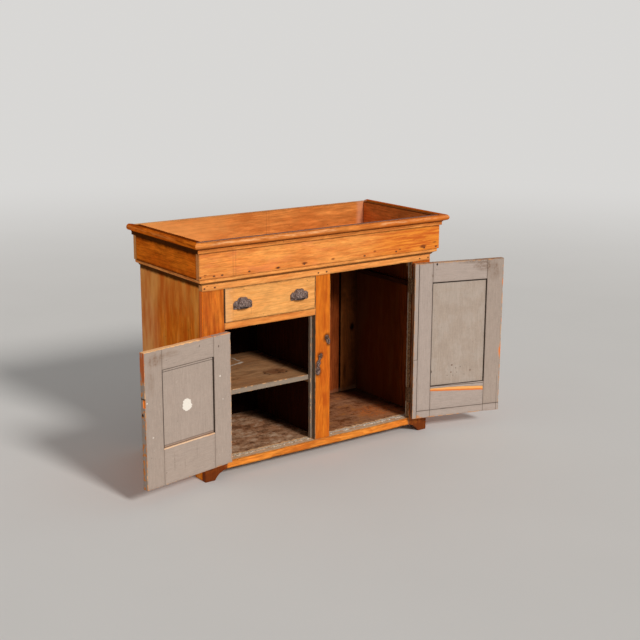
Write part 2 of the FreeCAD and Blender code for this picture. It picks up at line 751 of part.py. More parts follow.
def mouldings(name, profile, face_left, face_front, reach, top):
    """A front length and two end lengths of one moulding, mitred at the front corners."""
    past = f"({reach} + mitre_margin)"
    out_x = f"({face_left} - {past})"
    out_y = f"({face_front} - {past})"
    front = profile_body(f"{name}_front", "YZ_Plane", outward(profile, face_front), out_x, f"-2 * {out_x}")
    for way in (1, -1):
        waste = [(f"{way} * {face_left}", face_front), (f"{way} * {out_x}", out_y),
                 (f"{way} * {out_x}", face_front)]
        pocket(front, "XY_Plane", waste, f"{top} + mitre_margin", top)
    left = profile_body(f"{name}_left", "XZ_Plane", outward(profile, face_left), f"-{BACK}",
                        f"{BACK} - {out_y}")
    waste = [(face_left, face_front), (out_x, out_y), (face_left, out_y)]
    pocket(left, "XY_Plane", waste, f"{top} + mitre_margin", top)
    mirror(f"{name}_right", left)


mouldings("rim", rim_profile, BAND_LEFT, BAND_FRONT, "rim_step_depth", f"({RIM_UNDER} + rim_top_lift)")
mouldings("bed_mould", bed_profile, LEFT, FRONT, "bed_depth", f"({TOP})")


# ---------------------------------------------------------------- drawer

DRAWER_LEFT = f"({BAY_LEFT} + drawer_gap)"
DRAWER_RIGHT = f"({POST_LEFT} - drawer_gap)"
DRAWER_FACE_BACK = f"({FRONT} + drawer_front_thickness)"
DRAWER_SIDE_START = f"({DRAWER_FACE_BACK} - drawer_front_rabbet)"
DRAWER_END = f"({PLANK_FRONT} - drawer_back_gap)"
DRAWER_BACK_FRONT = f"({DRAWER_END} - drawer_side_thickness)"
DRAWER_UNDER = f"({RAIL_TOP} + drawer_running_gap)"
SIDE_INNER_LEFT = f"({DRAWER_LEFT} + drawer_side_thickness)"
SIDE_INNER_RIGHT = f"({DRAWER_RIGHT} - drawer_side_thickness)"
GROOVE_LEFT = f"({SIDE_INNER_LEFT} - drawer_groove)"
GROOVE_RIGHT = f"({SIDE_INNER_RIGHT} + drawer_groove)"
GROOVE_FRONT = f"({DRAWER_FACE_BACK} - drawer_groove)"
DRAWER_FLOOR_UNDER = f"({DRAWER_UNDER} + drawer_bottom_lift)"
DRAWER_FLOOR = f"({DRAWER_FLOOR_UNDER} + drawer_bottom_thickness)"
PULL_MIDDLE = f"(({DRAWER_LEFT} + {DRAWER_RIGHT}) / 2)"
PULL_UNDER = f"({DRAWER_UNDER} + pull_lift)"


def half_dome(label, width, height, reach, frame):
    """The upper front quarter of an ellipsoid, its flat back on the drawer front."""
    dome = doc.addObject("Part::Ellipsoid", label)
    bind(dome, Radius1=height, Radius2=f"{width} / 2", Radius3=reach)
    dome.Angle1 = 0
    dome.Angle2 = 90
    dome.Angle3 = 180
    return place(dome, frame, shift("0", "0", "0", turn="180"))


def cup_pull(side, middle):
    """A cast cup pull, open below, with a screw in the lug at each end."""
    label = f"{side}_pull"
    frame = shift(middle, FRONT, PULL_UNDER)
    half = "(pull_width / 2)"
    screws = []
    for way in (-1, 1):
        spot = (f"{way} * ({half} - pull_screw_inset)", "-pull_plate_thickness", "pull_screw_lift")
        head = rod(f"{label}_screw_head_{way + 1}", "pull_screw_head", "pull_wall / 2",
                   frame, shift(*spot, "1; 0; 0", "90"))
        shank = rod(f"{label}_screw_shank_{way + 1}", "pull_screw_shank", "pull_screw_length",
                    frame, shift(*spot, "1; 0; 0", "-90"))
        screws.append(fuse(f"{label}_screw_{way + 1}", [head, shank]))
    outer = fuse(f"{label}_outer", [
        half_dome(f"{label}_dome", "pull_dome_width", "pull_dome_height", "pull_dome_reach", frame),
        half_dome(f"{label}_shoulder", "pull_shoulder_width", "pull_shoulder_height",
                  "pull_shoulder_reach", frame),
        board(f"{label}_plate", (f"-{half}", half), ("-pull_plate_thickness", "0"),
              ("0", "pull_plate_height"), frame),
    ])
    hollow = fuse(f"{label}_hollow", [
        half_dome(f"{label}_dome_hollow", "(pull_dome_width - 2 * pull_wall)", "pull_dome_height - pull_wall",
                  "pull_dome_reach - pull_wall", frame),
        half_dome(f"{label}_shoulder_hollow", "(pull_shoulder_width - 2 * pull_wall)",
                  "pull_shoulder_height - pull_wall", "pull_shoulder_reach - pull_wall", frame),
    ])
    return cut(label, outer, [hollow] + screws), screws


left_pull, left_pull_screws = cup_pull("left", f"{PULL_MIDDLE} - pull_spacing / 2")
right_pull, right_pull_screws = cup_pull("right", f"{PULL_MIDDLE} + pull_spacing / 2")
pull_screws = group("pull_screws", left_pull_screws + right_pull_screws)

front_cuts = [
    board("front_rabbet_left", (DRAWER_LEFT, SIDE_INNER_LEFT), (DRAWER_SIDE_START, DRAWER_FACE_BACK),
          (RAIL_TOP, FRIEZE)),
    board("front_rabbet_right", (SIDE_INNER_RIGHT, DRAWER_RIGHT), (DRAWER_SIDE_START, DRAWER_FACE_BACK),
          (RAIL_TOP, FRIEZE)),
    board("front_groove", (SIDE_INNER_LEFT, SIDE_INNER_RIGHT), (GROOVE_FRONT, DRAWER_FACE_BACK),
          (DRAWER_FLOOR_UNDER, DRAWER_FLOOR)),
]
drawer_front_plain = board(
    "drawer_front_plain", (DRAWER_LEFT, DRAWER_RIGHT), (FRONT, DRAWER_FACE_BACK),
    (f"({RAIL_TOP} + drawer_gap)", f"({FRIEZE} - drawer_gap)"))
cut("drawer_front", drawer_front_plain, front_cuts + left_pull_screws + right_pull_screws)
for side, span, groove in (("left", (DRAWER_LEFT, SIDE_INNER_LEFT), (GROOVE_LEFT, SIDE_INNER_LEFT)),
                           ("right", (SIDE_INNER_RIGHT, DRAWER_RIGHT), (SIDE_INNER_RIGHT, GROOVE_RIGHT))):
    cut(f"drawer_{side}_side",
        board(f"drawer_{side}_plain", span, (DRAWER_SIDE_START, DRAWER_END),
              (DRAWER_UNDER, f"({DRAWER_UNDER} + drawer_side_height)")),
        [board(f"drawer_{side}_groove", groove, (DRAWER_SIDE_START, DRAWER_END),
               (DRAWER_FLOOR_UNDER, DRAWER_FLOOR))])
board("drawer_back", (SIDE_INNER_LEFT, SIDE_INNER_RIGHT), (DRAWER_BACK_FRONT, DRAWER_END),
      (DRAWER_FLOOR, f"({DRAWER_FLOOR} + drawer_back_height)"))
board("drawer_bottom", (GROOVE_LEFT, GROOVE_RIGHT), (GROOVE_FRONT, DRAWER_END),
      (DRAWER_FLOOR_UNDER, DRAWER_FLOOR))


# ---------------------------------------------------------------- doors, drawn shut at their hinge axes

DOOR_FRONT = "hinge_proud"
DOOR_BACK = "(hinge_proud + door_thickness)"
PANEL_BACK = f"({DOOR_BACK} - panel_recess)"
PANEL_FRONT = f"({PANEL_BACK} - panel_thickness)"
DOOR_EDGE = "(door_gap / 2)"


def door(side, bay_width, edge_strip="0", bottom_strip="0"):
    """A framed and panelled door; distances run from the hinge axis towards the free edge."""
    way = 1 if side == "left" else -1
    door_top = DOOR_TOP[side]
    frame = DOOR_FRAME[side]
    thick = (DOOR_FRONT, DOOR_BACK)
    middle = (PANEL_FRONT, PANEL_BACK)
    free_edge = f"({bay_width} - {DOOR_EDGE} - door_gap)"
    stile_start = f"({DOOR_EDGE} + {edge_strip})"
    hinge_inner = f"({DOOR_EDGE} + {side}_hinge_stile_width)"
    free_inner = f"({free_edge} - {side}_free_stile_width)"
    under = f"({DOOR_UNDER} + {bottom_strip})"
    low = f"({DOOR_UNDER} + {side}_bottom_rail_height)"
    high = f"({door_top} - {side}_top_rail_height)"

    def along(near, far):
        return (near, far) if way > 0 else (f"(-{far})", f"(-{near})")

    def part(name, span, depth, rise, placed=None):
        return board(f"{side}_door_{name}", along(*span), depth, rise, placed)

    def tenons(name, rise):
        return [part(f"{name}_tenon_hinge", (f"({hinge_inner} - tenon_length)", hinge_inner), middle, rise),
                part(f"{name}_tenon_free", (free_inner, f"({free_inner} + tenon_length)"), middle, rise)]

    groove = f"({hinge_inner} - panel_groove)", f"({free_inner} + panel_groove)"
    panel_rise = f"({low} - panel_groove)", f"({high} + panel_groove)"
    part("panel", groove, middle, panel_rise, frame)
    panel_shut = part("panel_shut", groove, middle, panel_rise)
    top_tenons = tenons("top", (f"({high} + tenon_shoulder)", f"({door_top} - tenon_shoulder)"))
    bottom_tenons = tenons("bottom", (f"({under} + tenon_shoulder)", f"({low} - tenon_shoulder)"))
    leaves = group(f"{side}_door_leaves_shut", door_leaves[side])
    screws = group(f"{side}_door_screws_shut", door_screws[side])
    hinge_cuts = [leaves, screws]

    stile = part("hinge_stile_plain", (stile_start, hinge_inner), thick, (under, door_top))
    stile_cuts = [top_tenons[0], bottom_tenons[0], panel_shut]
    cut(f"{side}_door_hinge_stile", stile, stile_cuts + hinge_cuts, frame)
    stile = part("free_stile_plain", (free_inner, free_edge), thick, (under, door_top))
    stile_cuts = [top_tenons[1], bottom_tenons[1], panel_shut]
    if side == "left":
        stile_cuts.append(part("lock_notch", (f"({free_edge} - notch_depth)", free_edge),
                               (f"({DOOR_BACK} - notch_reach)", DOOR_BACK),
                               ("notch_bottom", "(notch_bottom + notch_height)")))
    cut(f"{side}_door_free_stile", stile, stile_cuts, frame)
    for name, rise, pair in (("top_rail", (high, door_top), top_tenons),
                             ("bottom_rail", (under, low), bottom_tenons)):
        rail = fuse(f"{side}_door_{name}_whole",
                    [part(f"{name}_plain", (hinge_inner, free_inner), thick, rise)] + pair)
        cut(f"{side}_door_{name}", rail, [panel_shut], frame)
    if side == "right":
        strip = part("edge_strip_plain", (DOOR_EDGE, stile_start), thick, (DOOR_UNDER, door_top))
        cut("right_door_edge_strip", strip, hinge_cuts, frame)
        part("bottom_strip", (stile_start, free_edge), thick, (DOOR_UNDER, under), frame)
    group(f"{side}_door_hinge_leaves", [leaves], frame)
    group(f"{side}_door_hinge_screws", [screws], frame)


door("left", "left_bay_width")
door("right", f"({BAY_RIGHT} - {POST_RIGHT})", "edge_strip_width", "bottom_strip_height")


# ---------------------------------------------------------------- check and write

DOOR_NODES = ("hinge_stile", "free_stile", "top_rail", "bottom_rail", "panel", "hinge_leaves", "hinge_screws")
NODES = [
    "left_side", "right_side", "left_stile", "centre_stile", "right_stile",
    "top_rail", "drawer_rail", "bottom_rail", "back_boards", "bottom_boards", "cleats",
    "centre_partition", "middle_shelf", "door_stops", "right_wall_batten", "frieze_blocks",
    "drawer_runners", "drawer_guides", "well_floor", "well_front_board", "well_back_board",
    "well_left_end", "well_right_end", "rim_front", "rim_left", "rim_right",
    "bed_mould_front", "bed_mould_left", "bed_mould_right",
    "case_nails", "case_hinge_leaves", "case_hinge_screws", "hinge_pins", "catch_pivots",
    "drawer_front", "drawer_left_side", "drawer_right_side", "drawer_back", "drawer_bottom",
    "left_pull", "right_pull", "pull_screws",
    *[f"left_door_{name}" for name in DOOR_NODES],
    *[f"right_door_{name}" for name in DOOR_NODES],
    "right_door_edge_strip", "right_door_bottom_strip",
    "left_catch", "right_catch",
]

doc.recompute()
for thing in doc.Objects:
    if "Invalid" in thing.State or "Error" in thing.State:
        raise RuntimeError(f"{thing.Label}: {thing.State}")
os.makedirs("parts", exist_ok=True)
for name in NODES:
    thing = doc.getObjectsByLabel(name)[0]
    shape = thing.Shape
    if shape.isNull() or not shape.isValid() or not shape.Solids:
        raise RuntimeError(f"{name}: no sound solid")
    shape.exportStep(f"parts/{name}.step")
print(len(NODES), "sub-parts written")
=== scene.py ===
import json
import math
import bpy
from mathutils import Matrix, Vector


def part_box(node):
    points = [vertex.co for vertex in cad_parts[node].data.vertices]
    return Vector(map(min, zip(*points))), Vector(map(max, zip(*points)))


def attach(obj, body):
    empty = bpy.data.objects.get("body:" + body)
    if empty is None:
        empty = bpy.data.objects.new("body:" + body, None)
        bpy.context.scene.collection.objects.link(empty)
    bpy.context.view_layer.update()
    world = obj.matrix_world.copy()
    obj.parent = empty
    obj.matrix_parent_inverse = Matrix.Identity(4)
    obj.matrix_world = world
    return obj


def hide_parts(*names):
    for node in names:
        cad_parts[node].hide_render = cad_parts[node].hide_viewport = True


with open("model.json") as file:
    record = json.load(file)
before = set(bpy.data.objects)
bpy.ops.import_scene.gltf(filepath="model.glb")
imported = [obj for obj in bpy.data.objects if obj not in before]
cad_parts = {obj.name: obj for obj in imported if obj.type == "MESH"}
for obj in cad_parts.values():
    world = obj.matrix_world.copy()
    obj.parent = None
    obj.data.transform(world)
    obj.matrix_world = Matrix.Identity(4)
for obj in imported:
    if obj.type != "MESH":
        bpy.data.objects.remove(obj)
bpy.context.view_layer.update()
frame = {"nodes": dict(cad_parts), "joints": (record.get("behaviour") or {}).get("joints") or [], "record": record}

from types import SimpleNamespace

import bmesh
import bpy
from mathutils import Matrix, Vector, noise

# The dry sink: pine boards with worn edges, grey paint inside, iron pulls, hinges and catches.
# Meshes are in metres in the CAD's own frame; shaders and the marks on them are in millimetres.

MM = 0.001
HERE = Matrix.Identity(4)
record = frame["record"]
joints = {joint["name"]: joint for joint in frame["joints"]}


# ---- reading the CAD

def door_frame(side):
    """The matrix from a door's own shut frame, at its hinge axis, to its rest place."""
    joint = joints[f"{side}_door_hinge"]
    low, high = joint["range_deg"]
    shut = high if side == "left" else low
    place = Vector((joint["pos_m"][0], joint["pos_m"][1], 0))
    return Matrix.Translation(place) @ Matrix.Rotation(math.radians(-shut), 4, "Z")


DOOR = {side: door_frame(side) for side in ("left", "right")}


def body_of_node(node):
    return next(body for body, nodes in record["behaviour"]["bodies"].items() if node in nodes)


def frame_of_node(node):
    body = body_of_node(node)
    return DOOR[body.split("_")[0]] if body.endswith("_door") else HERE


def merged(node):
    """A node's mesh with its doubled points joined."""
    mesh = bmesh.new()
    mesh.from_mesh(frame["nodes"][node].data)
    bmesh.ops.remove_doubles(mesh, verts=mesh.verts, dist=0.01 * MM)
    return mesh


def span(points):
    """The lowest and highest corner of some points."""
    return [Vector([pick(point[axis] for point in points) for axis in range(3)]) for pick in (min, max)]


def boxes(node):
    """The lowest and highest corner of each solid of a node in the node's own frame, in order."""
    mesh = merged(node)
    home = frame_of_node(node).inverted()
    found = []
    left = set(mesh.verts)
    while left:
        stack, island = [left.pop()], []
        while stack:
            vert = stack.pop()
            island.append(home @ vert.co)
            beside = {edge.other_vert(vert) for edge in vert.link_edges} & left
            left -= beside
            stack.extend(beside)
        found.append(span(island))
    mesh.free()
    return sorted(found, key=lambda box: tuple(box[0]))


def face_outline(node, axis, side):
    """The outline of a node's largest flat face that looks along an axis, as ordered points."""
    mesh = merged(node)
    bmesh.ops.dissolve_limit(mesh, angle_limit=math.radians(0.2), verts=mesh.verts, edges=mesh.edges)
    faces = [face for face in mesh.faces if face.normal[axis] * side > 0.99]
    outline = [vert.co.copy() for vert in max(faces, key=lambda face: face.calc_area()).verts]
    mesh.free()
    return outline


# ---- mesh makers

SHARP = math.radians(58)
ARRIS = 1.3 * MM
CORNER_STEPS = 3
STATION = 22 * MM
LEAST_ARRIS = 0.25 * MM
# The most of a board's thickness that an arris may take, and how far a mitre may reach
ARRIS_SHARE = 0.3
MITRE_LIMIT = 0.35


def add_object(name, data):
    made = bpy.data.objects.new(name, data)
    bpy.context.scene.collection.objects.link(made)
    return made


def mesh_data(name, mesh, home=HERE):
    data = bpy.data.meshes.new(name)
    mesh.to_mesh(data)
    mesh.free()
    data.transform(home)
    return data


def finish_piece(name, mesh, node, material, home=HERE):
    """A mesh becomes a piece that rides with its node's body and stands for the node."""
    bmesh.ops.recalc_face_normals(mesh, faces=mesh.faces)
    for edge in mesh.edges:
        edge.smooth = len(edge.link_faces) != 2 or edge.calc_face_angle() < SHARP
    data = mesh_data(name, mesh, home)
    data.polygons.foreach_set("use_smooth", [True] * len(data.polygons))
    data.materials.append(material)
    piece = add_object(name, data)
    weighted = piece.modifiers.new("flat_faces", "WEIGHTED_NORMAL")
    weighted.weight = 100
    weighted.keep_sharp = True
    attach(piece, body_of_node(node))
    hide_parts(node)
    return piece


def rings_to_mesh(rings):
    """Skin a list of equal rings of points and close both ends."""
    mesh = bmesh.new()
    rows = [[mesh.verts.new(point) for point in ring] for ring in rings]
    for row, following in zip(rows, rows[1:]):
        for index in range(len(row)):
            after = (index + 1) % len(row)
            mesh.faces.new((row[index], row[after], following[after], following[index]))
    mesh.faces.new(list(reversed(rows[0])))
    mesh.faces.new(rows[-1])
    return mesh


def waver(seed, along, across=0.0):
    """Smooth noise from -1 to 1 at a place given in metres."""
    return noise.noise(Vector((along + seed * 7.31, across + seed * 3.17, seed * 1.93)))


def board_mesh(low, high, axis, seed, radius=ARRIS, wear=1.0, inset=0.0):
    """A board with hand-worn arrises: its edge radius drifts along its length, with a few chips."""
    margin = Vector((inset, inset, inset))
    low, high = low + margin, high - margin
    side_u, side_v = (other for other in range(3) if other != axis)
    length = high[axis] - low[axis]
    thin = min(high[side] - low[side] for side in (side_u, side_v))
    stations = max(2, int(length / STATION))
    end_round = min(radius, thin / 4)
    places = [0, end_round, *[length * step / stations for step in range(1, stations)], length - end_round, length]
    rings = []
    for place in places:
        end = place < end_round / 2 or place > length - end_round / 2
        ring = []
        for corner, (far_u, far_v) in enumerate(((0, 0), (1, 0), (1, 1), (0, 1))):
            drift = waver(seed + corner * 5.3, place * 9)
            chip = max(0.0, waver(seed + corner * 9.1 + 40, place * 26) - 0.28) * 9
            size = max(LEAST_ARRIS, min(radius * (1 + wear * (0.55 * drift + chip)), thin * ARRIS_SHARE))
            centre_u = high[side_u] - size if far_u else low[side_u] + size
            centre_v = high[side_v] - size if far_v else low[side_v] + size
            reach = size - (end_round * 0.8 if end else 0)
            for step in range(CORNER_STEPS + 1):
                turn = math.radians(180 + 90 * corner + 90 * step / CORNER_STEPS)
                point = Vector((0, 0, 0))
                point[side_u] = centre_u + reach * math.cos(turn)
                point[side_v] = centre_v + reach * math.sin(turn)
                point[axis] = low[axis] + place
                ring.append(point)
        rings.append(ring)
    return rings_to_mesh(rings)


def prism_mesh(outline, axis, start, end):
    """A flat shape with thickness, its rim rounded on both faces."""
    side_u, side_v = (other for other in range(3) if other != axis)
    flat = [Vector((point[side_u], point[side_v])) for point in outline]
    area = sum(before.x * here.y - here.x * before.y for before, here in zip(flat[-1:] + flat, flat))
    turn = 1 if area > 0 else -1
    way = 1 if end > start else -1

    def offset(distance, place):
        ring = []
        for before, here, after in zip(flat[-1:] + flat, flat, flat[1:] + flat[:1]):
            first, second = (here - before).normalized(), (after - here).normalized()
            square = Vector((first.y, -first.x))
            normal = Vector((first.y + second.y, -first.x - second.x))
            if normal.length < 1e-6:
                normal = square.copy()
            normal.normalize()
            moved = here - normal * (turn * distance / max(MITRE_LIMIT, normal.dot(square)))
            point = Vector((0, 0, 0))
            point[side_u], point[side_v], point[axis] = moved.x, moved.y, place
            ring.append(point)
        return ring
    steps = ((1, 0), (0.3, 0.3), (0, 1))
    return rings_to_mesh([offset(ARRIS * inward, start + way * ARRIS * along) for inward, along in steps]
                         + [offset(ARRIS * inward, end - way * ARRIS * along) for inward, along in steps[::-1]])


def side_by_side(box, axis, count):
    """A box shared out between equal boards."""
    low, high = box
    width = (high[axis] - low[axis]) / count
    shared = []
    for number in range(count):
        first, last = low.copy(), high.copy()
        first[axis] = low[axis] + width * number
        last[axis] = first[axis] + width
        shared.append((first, last))
    return shared


def box_board(node, axis, seed, radius=ARRIS, wear=1.0, inset=0.0, trim=None, laid=None, **wood):
    """Stand worn boards in for a node's box-like solids, one piece each; laid tells how touching boards divide."""
    home = frame_of_node(node)
    found = boxes(node)
    if laid:
        found = side_by_side(found[0], *laid)
    pieces = []
    for number, (low, high) in enumerate(found):
        if trim:
            low, high = trim(low, high)
        name = f"{node}_board" if len(found) == 1 else f"{node}_board_{number + 1}"
        own_seed = seed + number * 3.7
        mesh = board_mesh(low, high, axis, own_seed, radius, wear, inset)
        pieces.append(finish_piece(name, mesh, node, pine(name, low, high, axis, own_seed, home, **wood), home))
    return pieces


def flat_board(node, axis, side, seed, **wood):
    """A board with the CAD's own outline, read from the face that looks along an axis."""
    low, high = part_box(node)
    start, end = (high, low) if side > 0 else (low, high)
    mesh = prism_mesh(face_outline(node, axis, side), axis, start[axis], end[axis])
    finish_piece(f"{node}_board", mesh, node, pine(node, low, high, 2, seed, HERE, **wood))


# ---- shader helpers

def linear(tone):
    """A tone written as screen values from 0 to 255, made a linear colour."""
    shares = [value / 255 for value in tone]
    return (*[share / 12.92 if share <= 0.04045 else ((share + 0.055) / 1.055) ** 2.4 for share in shares], 1.0)


class Field:
    """A value that differs from point to point: a node's output, with arithmetic that adds nodes."""

    def __init__(self, nodes, socket):
        self.nodes, self.socket = nodes, socket

    def math(self, operation, *others):
        return self.nodes.run("ShaderNodeMath", (self, *others), operation=operation)

    def __add__(self, other):
        return self.math("ADD", other)

    def __sub__(self, other):
        return self.math("SUBTRACT", other)

    def __rsub__(self, other):
        return self.nodes.run("ShaderNodeMath", (other, self), operation="SUBTRACT")

    def __mul__(self, other):
        return self.math("MULTIPLY", other)

    def __truediv__(self, other):
        return self.math("DIVIDE", other)

    def __abs__(self):
        return self.math("ABSOLUTE")

    def __pow__(self, power):
        """A power of the field's size, its sign left out."""
        return abs(self).math("POWER", power)

    def step(self, low, high, first=0.0, last=1.0):
        """A smooth step from first at low to last at high."""
        return self.nodes.run("ShaderNodeMapRange", (self, low, high, first, last), interpolation_type="SMOOTHSTEP")

    def fall(self, low, high, first=1.0):
        """A smooth step down to nothing."""
        return self.step(low, high, first, 0.0)

    def inside(self, low, high, soft=1.0):
        """A mask for values between two limits."""
        return self.step(low - soft, low + soft) * self.fall(high - soft, high + soft)

    def near(self, at, half, soft=0.5):
        """A mask for values close to one."""
        return self.inside(at - half, at + half, soft)


def most(first, *others):
    for other in others:
        first = first.math("MAXIMUM", other)
    return first


def least(first, *others):
    for other in others:
        first = first.math("MINIMUM", other)
    return first


def hypot(first, second):
    return (first ** 2 + second ** 2).math("SQRT")


class Nodes:
    """A node tree with short calls for its nodes. A value is a number, a tone, a linear colour or a field."""

    def __init__(self, tree):
        self.tree = tree

    def feed(self, socket, value):
        if isinstance(value, Field):
            self.tree.links.new(value.socket, socket)
        else:
            socket.default_value = linear(value) if isinstance(value, tuple) and len(value) == 3 else value

    def run(self, kind, values=(), output=0, **settings):
        """Add a node with some inputs, as a list or by name, and give one of its outputs."""
        node = self.tree.nodes.new(kind)
        for name, setting in settings.items():
            setattr(node, name, setting)
        for key, value in values.items() if isinstance(values, dict) else enumerate(values):
            self.feed(node.inputs[key], value)
        return Field(self, node.outputs[output])

    def mix(self, share, first, second, blend="MIX"):
        return self.run("ShaderNodeMix", {0: share, 6: first, 7: second}, 2, data_type="RGBA", blend_type=blend)

    def parts(self, vector):
        outputs = self.run("ShaderNodeSeparateXYZ", (vector,)).socket.node.outputs
        return [Field(self, output) for output in outputs]

    def vector(self, at):
        return self.run("ShaderNodeCombineXYZ", at) if isinstance(at, tuple) else at

    def noise(self, at, scale=1.0, detail=2.0, roughness=0.5, output="Fac"):
        values = {"Vector": self.vector(at), "Scale": scale, "Detail": detail, "Roughness": roughness}
        return self.run("ShaderNodeTexNoise", values, output)

    def cells(self, at, scale=1.0):
        """The distance to the nearest of many scattered points, and that point's own number from 0 to 1."""
        far = self.run("ShaderNodeTexVoronoi", {"Vector": self.vector(at), "Scale": scale}, "Distance")
        return far, self.parts(Field(self, far.socket.node.outputs["Color"]))[0]

    def seen_directly(self):
        """1 for camera, glossy and transmission rays."""
        camera = self.run("ShaderNodeLightPath", output="Is Camera Ray")
        outputs = camera.socket.node.outputs
        return most(camera, *[Field(self, outputs[f"Is {kind} Ray"]) for kind in ("Glossy", "Transmission")])


class Shader(Nodes):
    """A material that is worked out from the point in a board's own frame, in millimetres."""

    def __init__(self, name, home=HERE):
        self.material = bpy.data.materials.new(name)
        self.material.use_nodes = True
        super().__init__(self.material.node_tree)
        self.surface = self.tree.nodes["Principled BSDF"]
        point = self.run("ShaderNodeTexCoord", output="Object")
        if home != HERE:
            point = self.run("ShaderNodeMapping", {"Vector": point, "Location": home.to_translation(),
                                                   "Rotation": home.to_euler()}, vector_type="TEXTURE")
        self.here = self.run("ShaderNodeVectorMath", {0: point, "Scale": 1 / MM}, operation="SCALE")
        self.at = self.x, self.y, self.z = self.parts(self.here)

    def tint(self, share, tone):
        """Lay a tone over the wood."""
        self.colour = self.mix(share, self.colour, tone)

    def stain(self, share, tone):
        """Lay a tone over the paint."""
        self.coat = self.mix(share, self.coat, tone)

    def wear(self, share, tone, strength=1.0):
        """Take the paint away and give the wood there a tone."""
        self.tint(share * strength, tone)
        self.mask = self.mask * (1 - share)

    def shade(self, amount):
        self.colour = self.mix(1.0, self.colour, amount, "MULTIPLY")

    def spot(self, first, at_first, half_first, second, at_second, half_second, strength):
        """A ragged oval round a place on a face, given on two of its directions."""
        far = hypot((first - at_first) / half_first, (second - at_second) / half_second)
        return (far + self.rough * 0.8).fall(0.75, 1.5, strength)

    def dots(self, spots, tone):
        """Ragged ovals on an upright face."""
        for at_x, half_x, at_z, half_z, strength in spots:
            self.tint(self.spot(self.x, at_x, half_x, self.z, at_z, half_z, strength), tone)

    def done(self, roughness, shine, height=None, strength=1.0, distance=1.0, metal=0.0):
        """Feed the surface and give the material."""
        for name, value in (("Base Color", self.colour), ("Roughness", roughness),
                            ("Specular IOR Level", shine), ("Metallic", metal)):
            self.feed(self.surface.inputs[name], value)
        if height:
            bump = self.run("ShaderNodeBump", {"Strength": strength, "Distance": distance, "Height": height})
            self.feed(self.surface.inputs["Normal"], bump)
        return self.material


# ---- pine

# Light wood, late wood, and the redder tone that old shellac leaves in patches
ORANGE = ((242, 160, 82), (198, 104, 40), (218, 120, 46))
FRIEZE = ((244, 168, 92), (206, 120, 54), (226, 138, 66))
BAND = ((244, 162, 82), (206, 114, 48), (224, 122, 52))
STILE = ((214, 120, 38), (160, 66, 14), (186, 76, 16))
POST = ((222, 124, 30), (182, 84, 16), (200, 88, 14))
RAIL = ((236, 146, 56), (178, 86, 20), (214, 112, 34))
PALE = ((238, 170, 96), (212, 136, 66), (230, 152, 80))
SIDE = ((255, 160, 52), (222, 104, 20), (252, 126, 30))
WELL = ((222, 142, 72), (178, 100, 42), (198, 106, 44))
END = ((248, 130, 32), (150, 58, 8), (212, 88, 16))
# Lighter tones for the side bed mouldings: a painted highlight along their roll
LIP = ((250, 170, 98), (190, 96, 34), (220, 126, 52))
NOSING = ((230, 148, 74), (184, 96, 38), (208, 114, 50))
# Near-black tones for the partition and batten inside the case: painted shade
INNER = ((66, 32, 17), (40, 18, 10), (52, 23, 10))
BACK = ((182, 104, 54), (116, 60, 30), (146, 78, 36))
SHELF = ((196, 148, 104), (124, 84, 54), (166, 108, 64))
FLOOR = ((190, 146, 112), (108, 72, 50), (170, 104, 62))
RAW = ((196, 150, 100), (156, 108, 64), (178, 122, 74))
DOOR_WOOD = ((236, 158, 88), (176, 96, 40), (214, 122, 54))
# Paint
GREY = (173, 156, 142)
PALE_GREY = (180, 168, 158)
LEFT_GREY = (171, 154, 142)
FRAME_GREY = (176, 160, 150)
FREE_GREY = (168, 151, 139)
EDGE_GREY = (150, 134, 118)
DARK_GREY = (112, 101, 88)
OLIVE = (112, 84, 58)
DUSTY = (214, 184, 152)
WHITE = (238, 230, 218)
# Wear and dirt; three of these tones also lay painted shade
TAN = (214, 176, 138)
KNOT = (116, 54, 24)
# dirt, and painted shade in moulding grooves and at arrises
DIRT_AND_SHADE = (50, 28, 14)
# painted shade only, inside the case along walls and at the back
DEEP_SHADE = (30, 15, 8)
# grimy paint marks, and a painted shadow line on the right door
SMUDGE_AND_SHADE = (70, 56, 46)
RED_BROWN = (84, 32, 6)


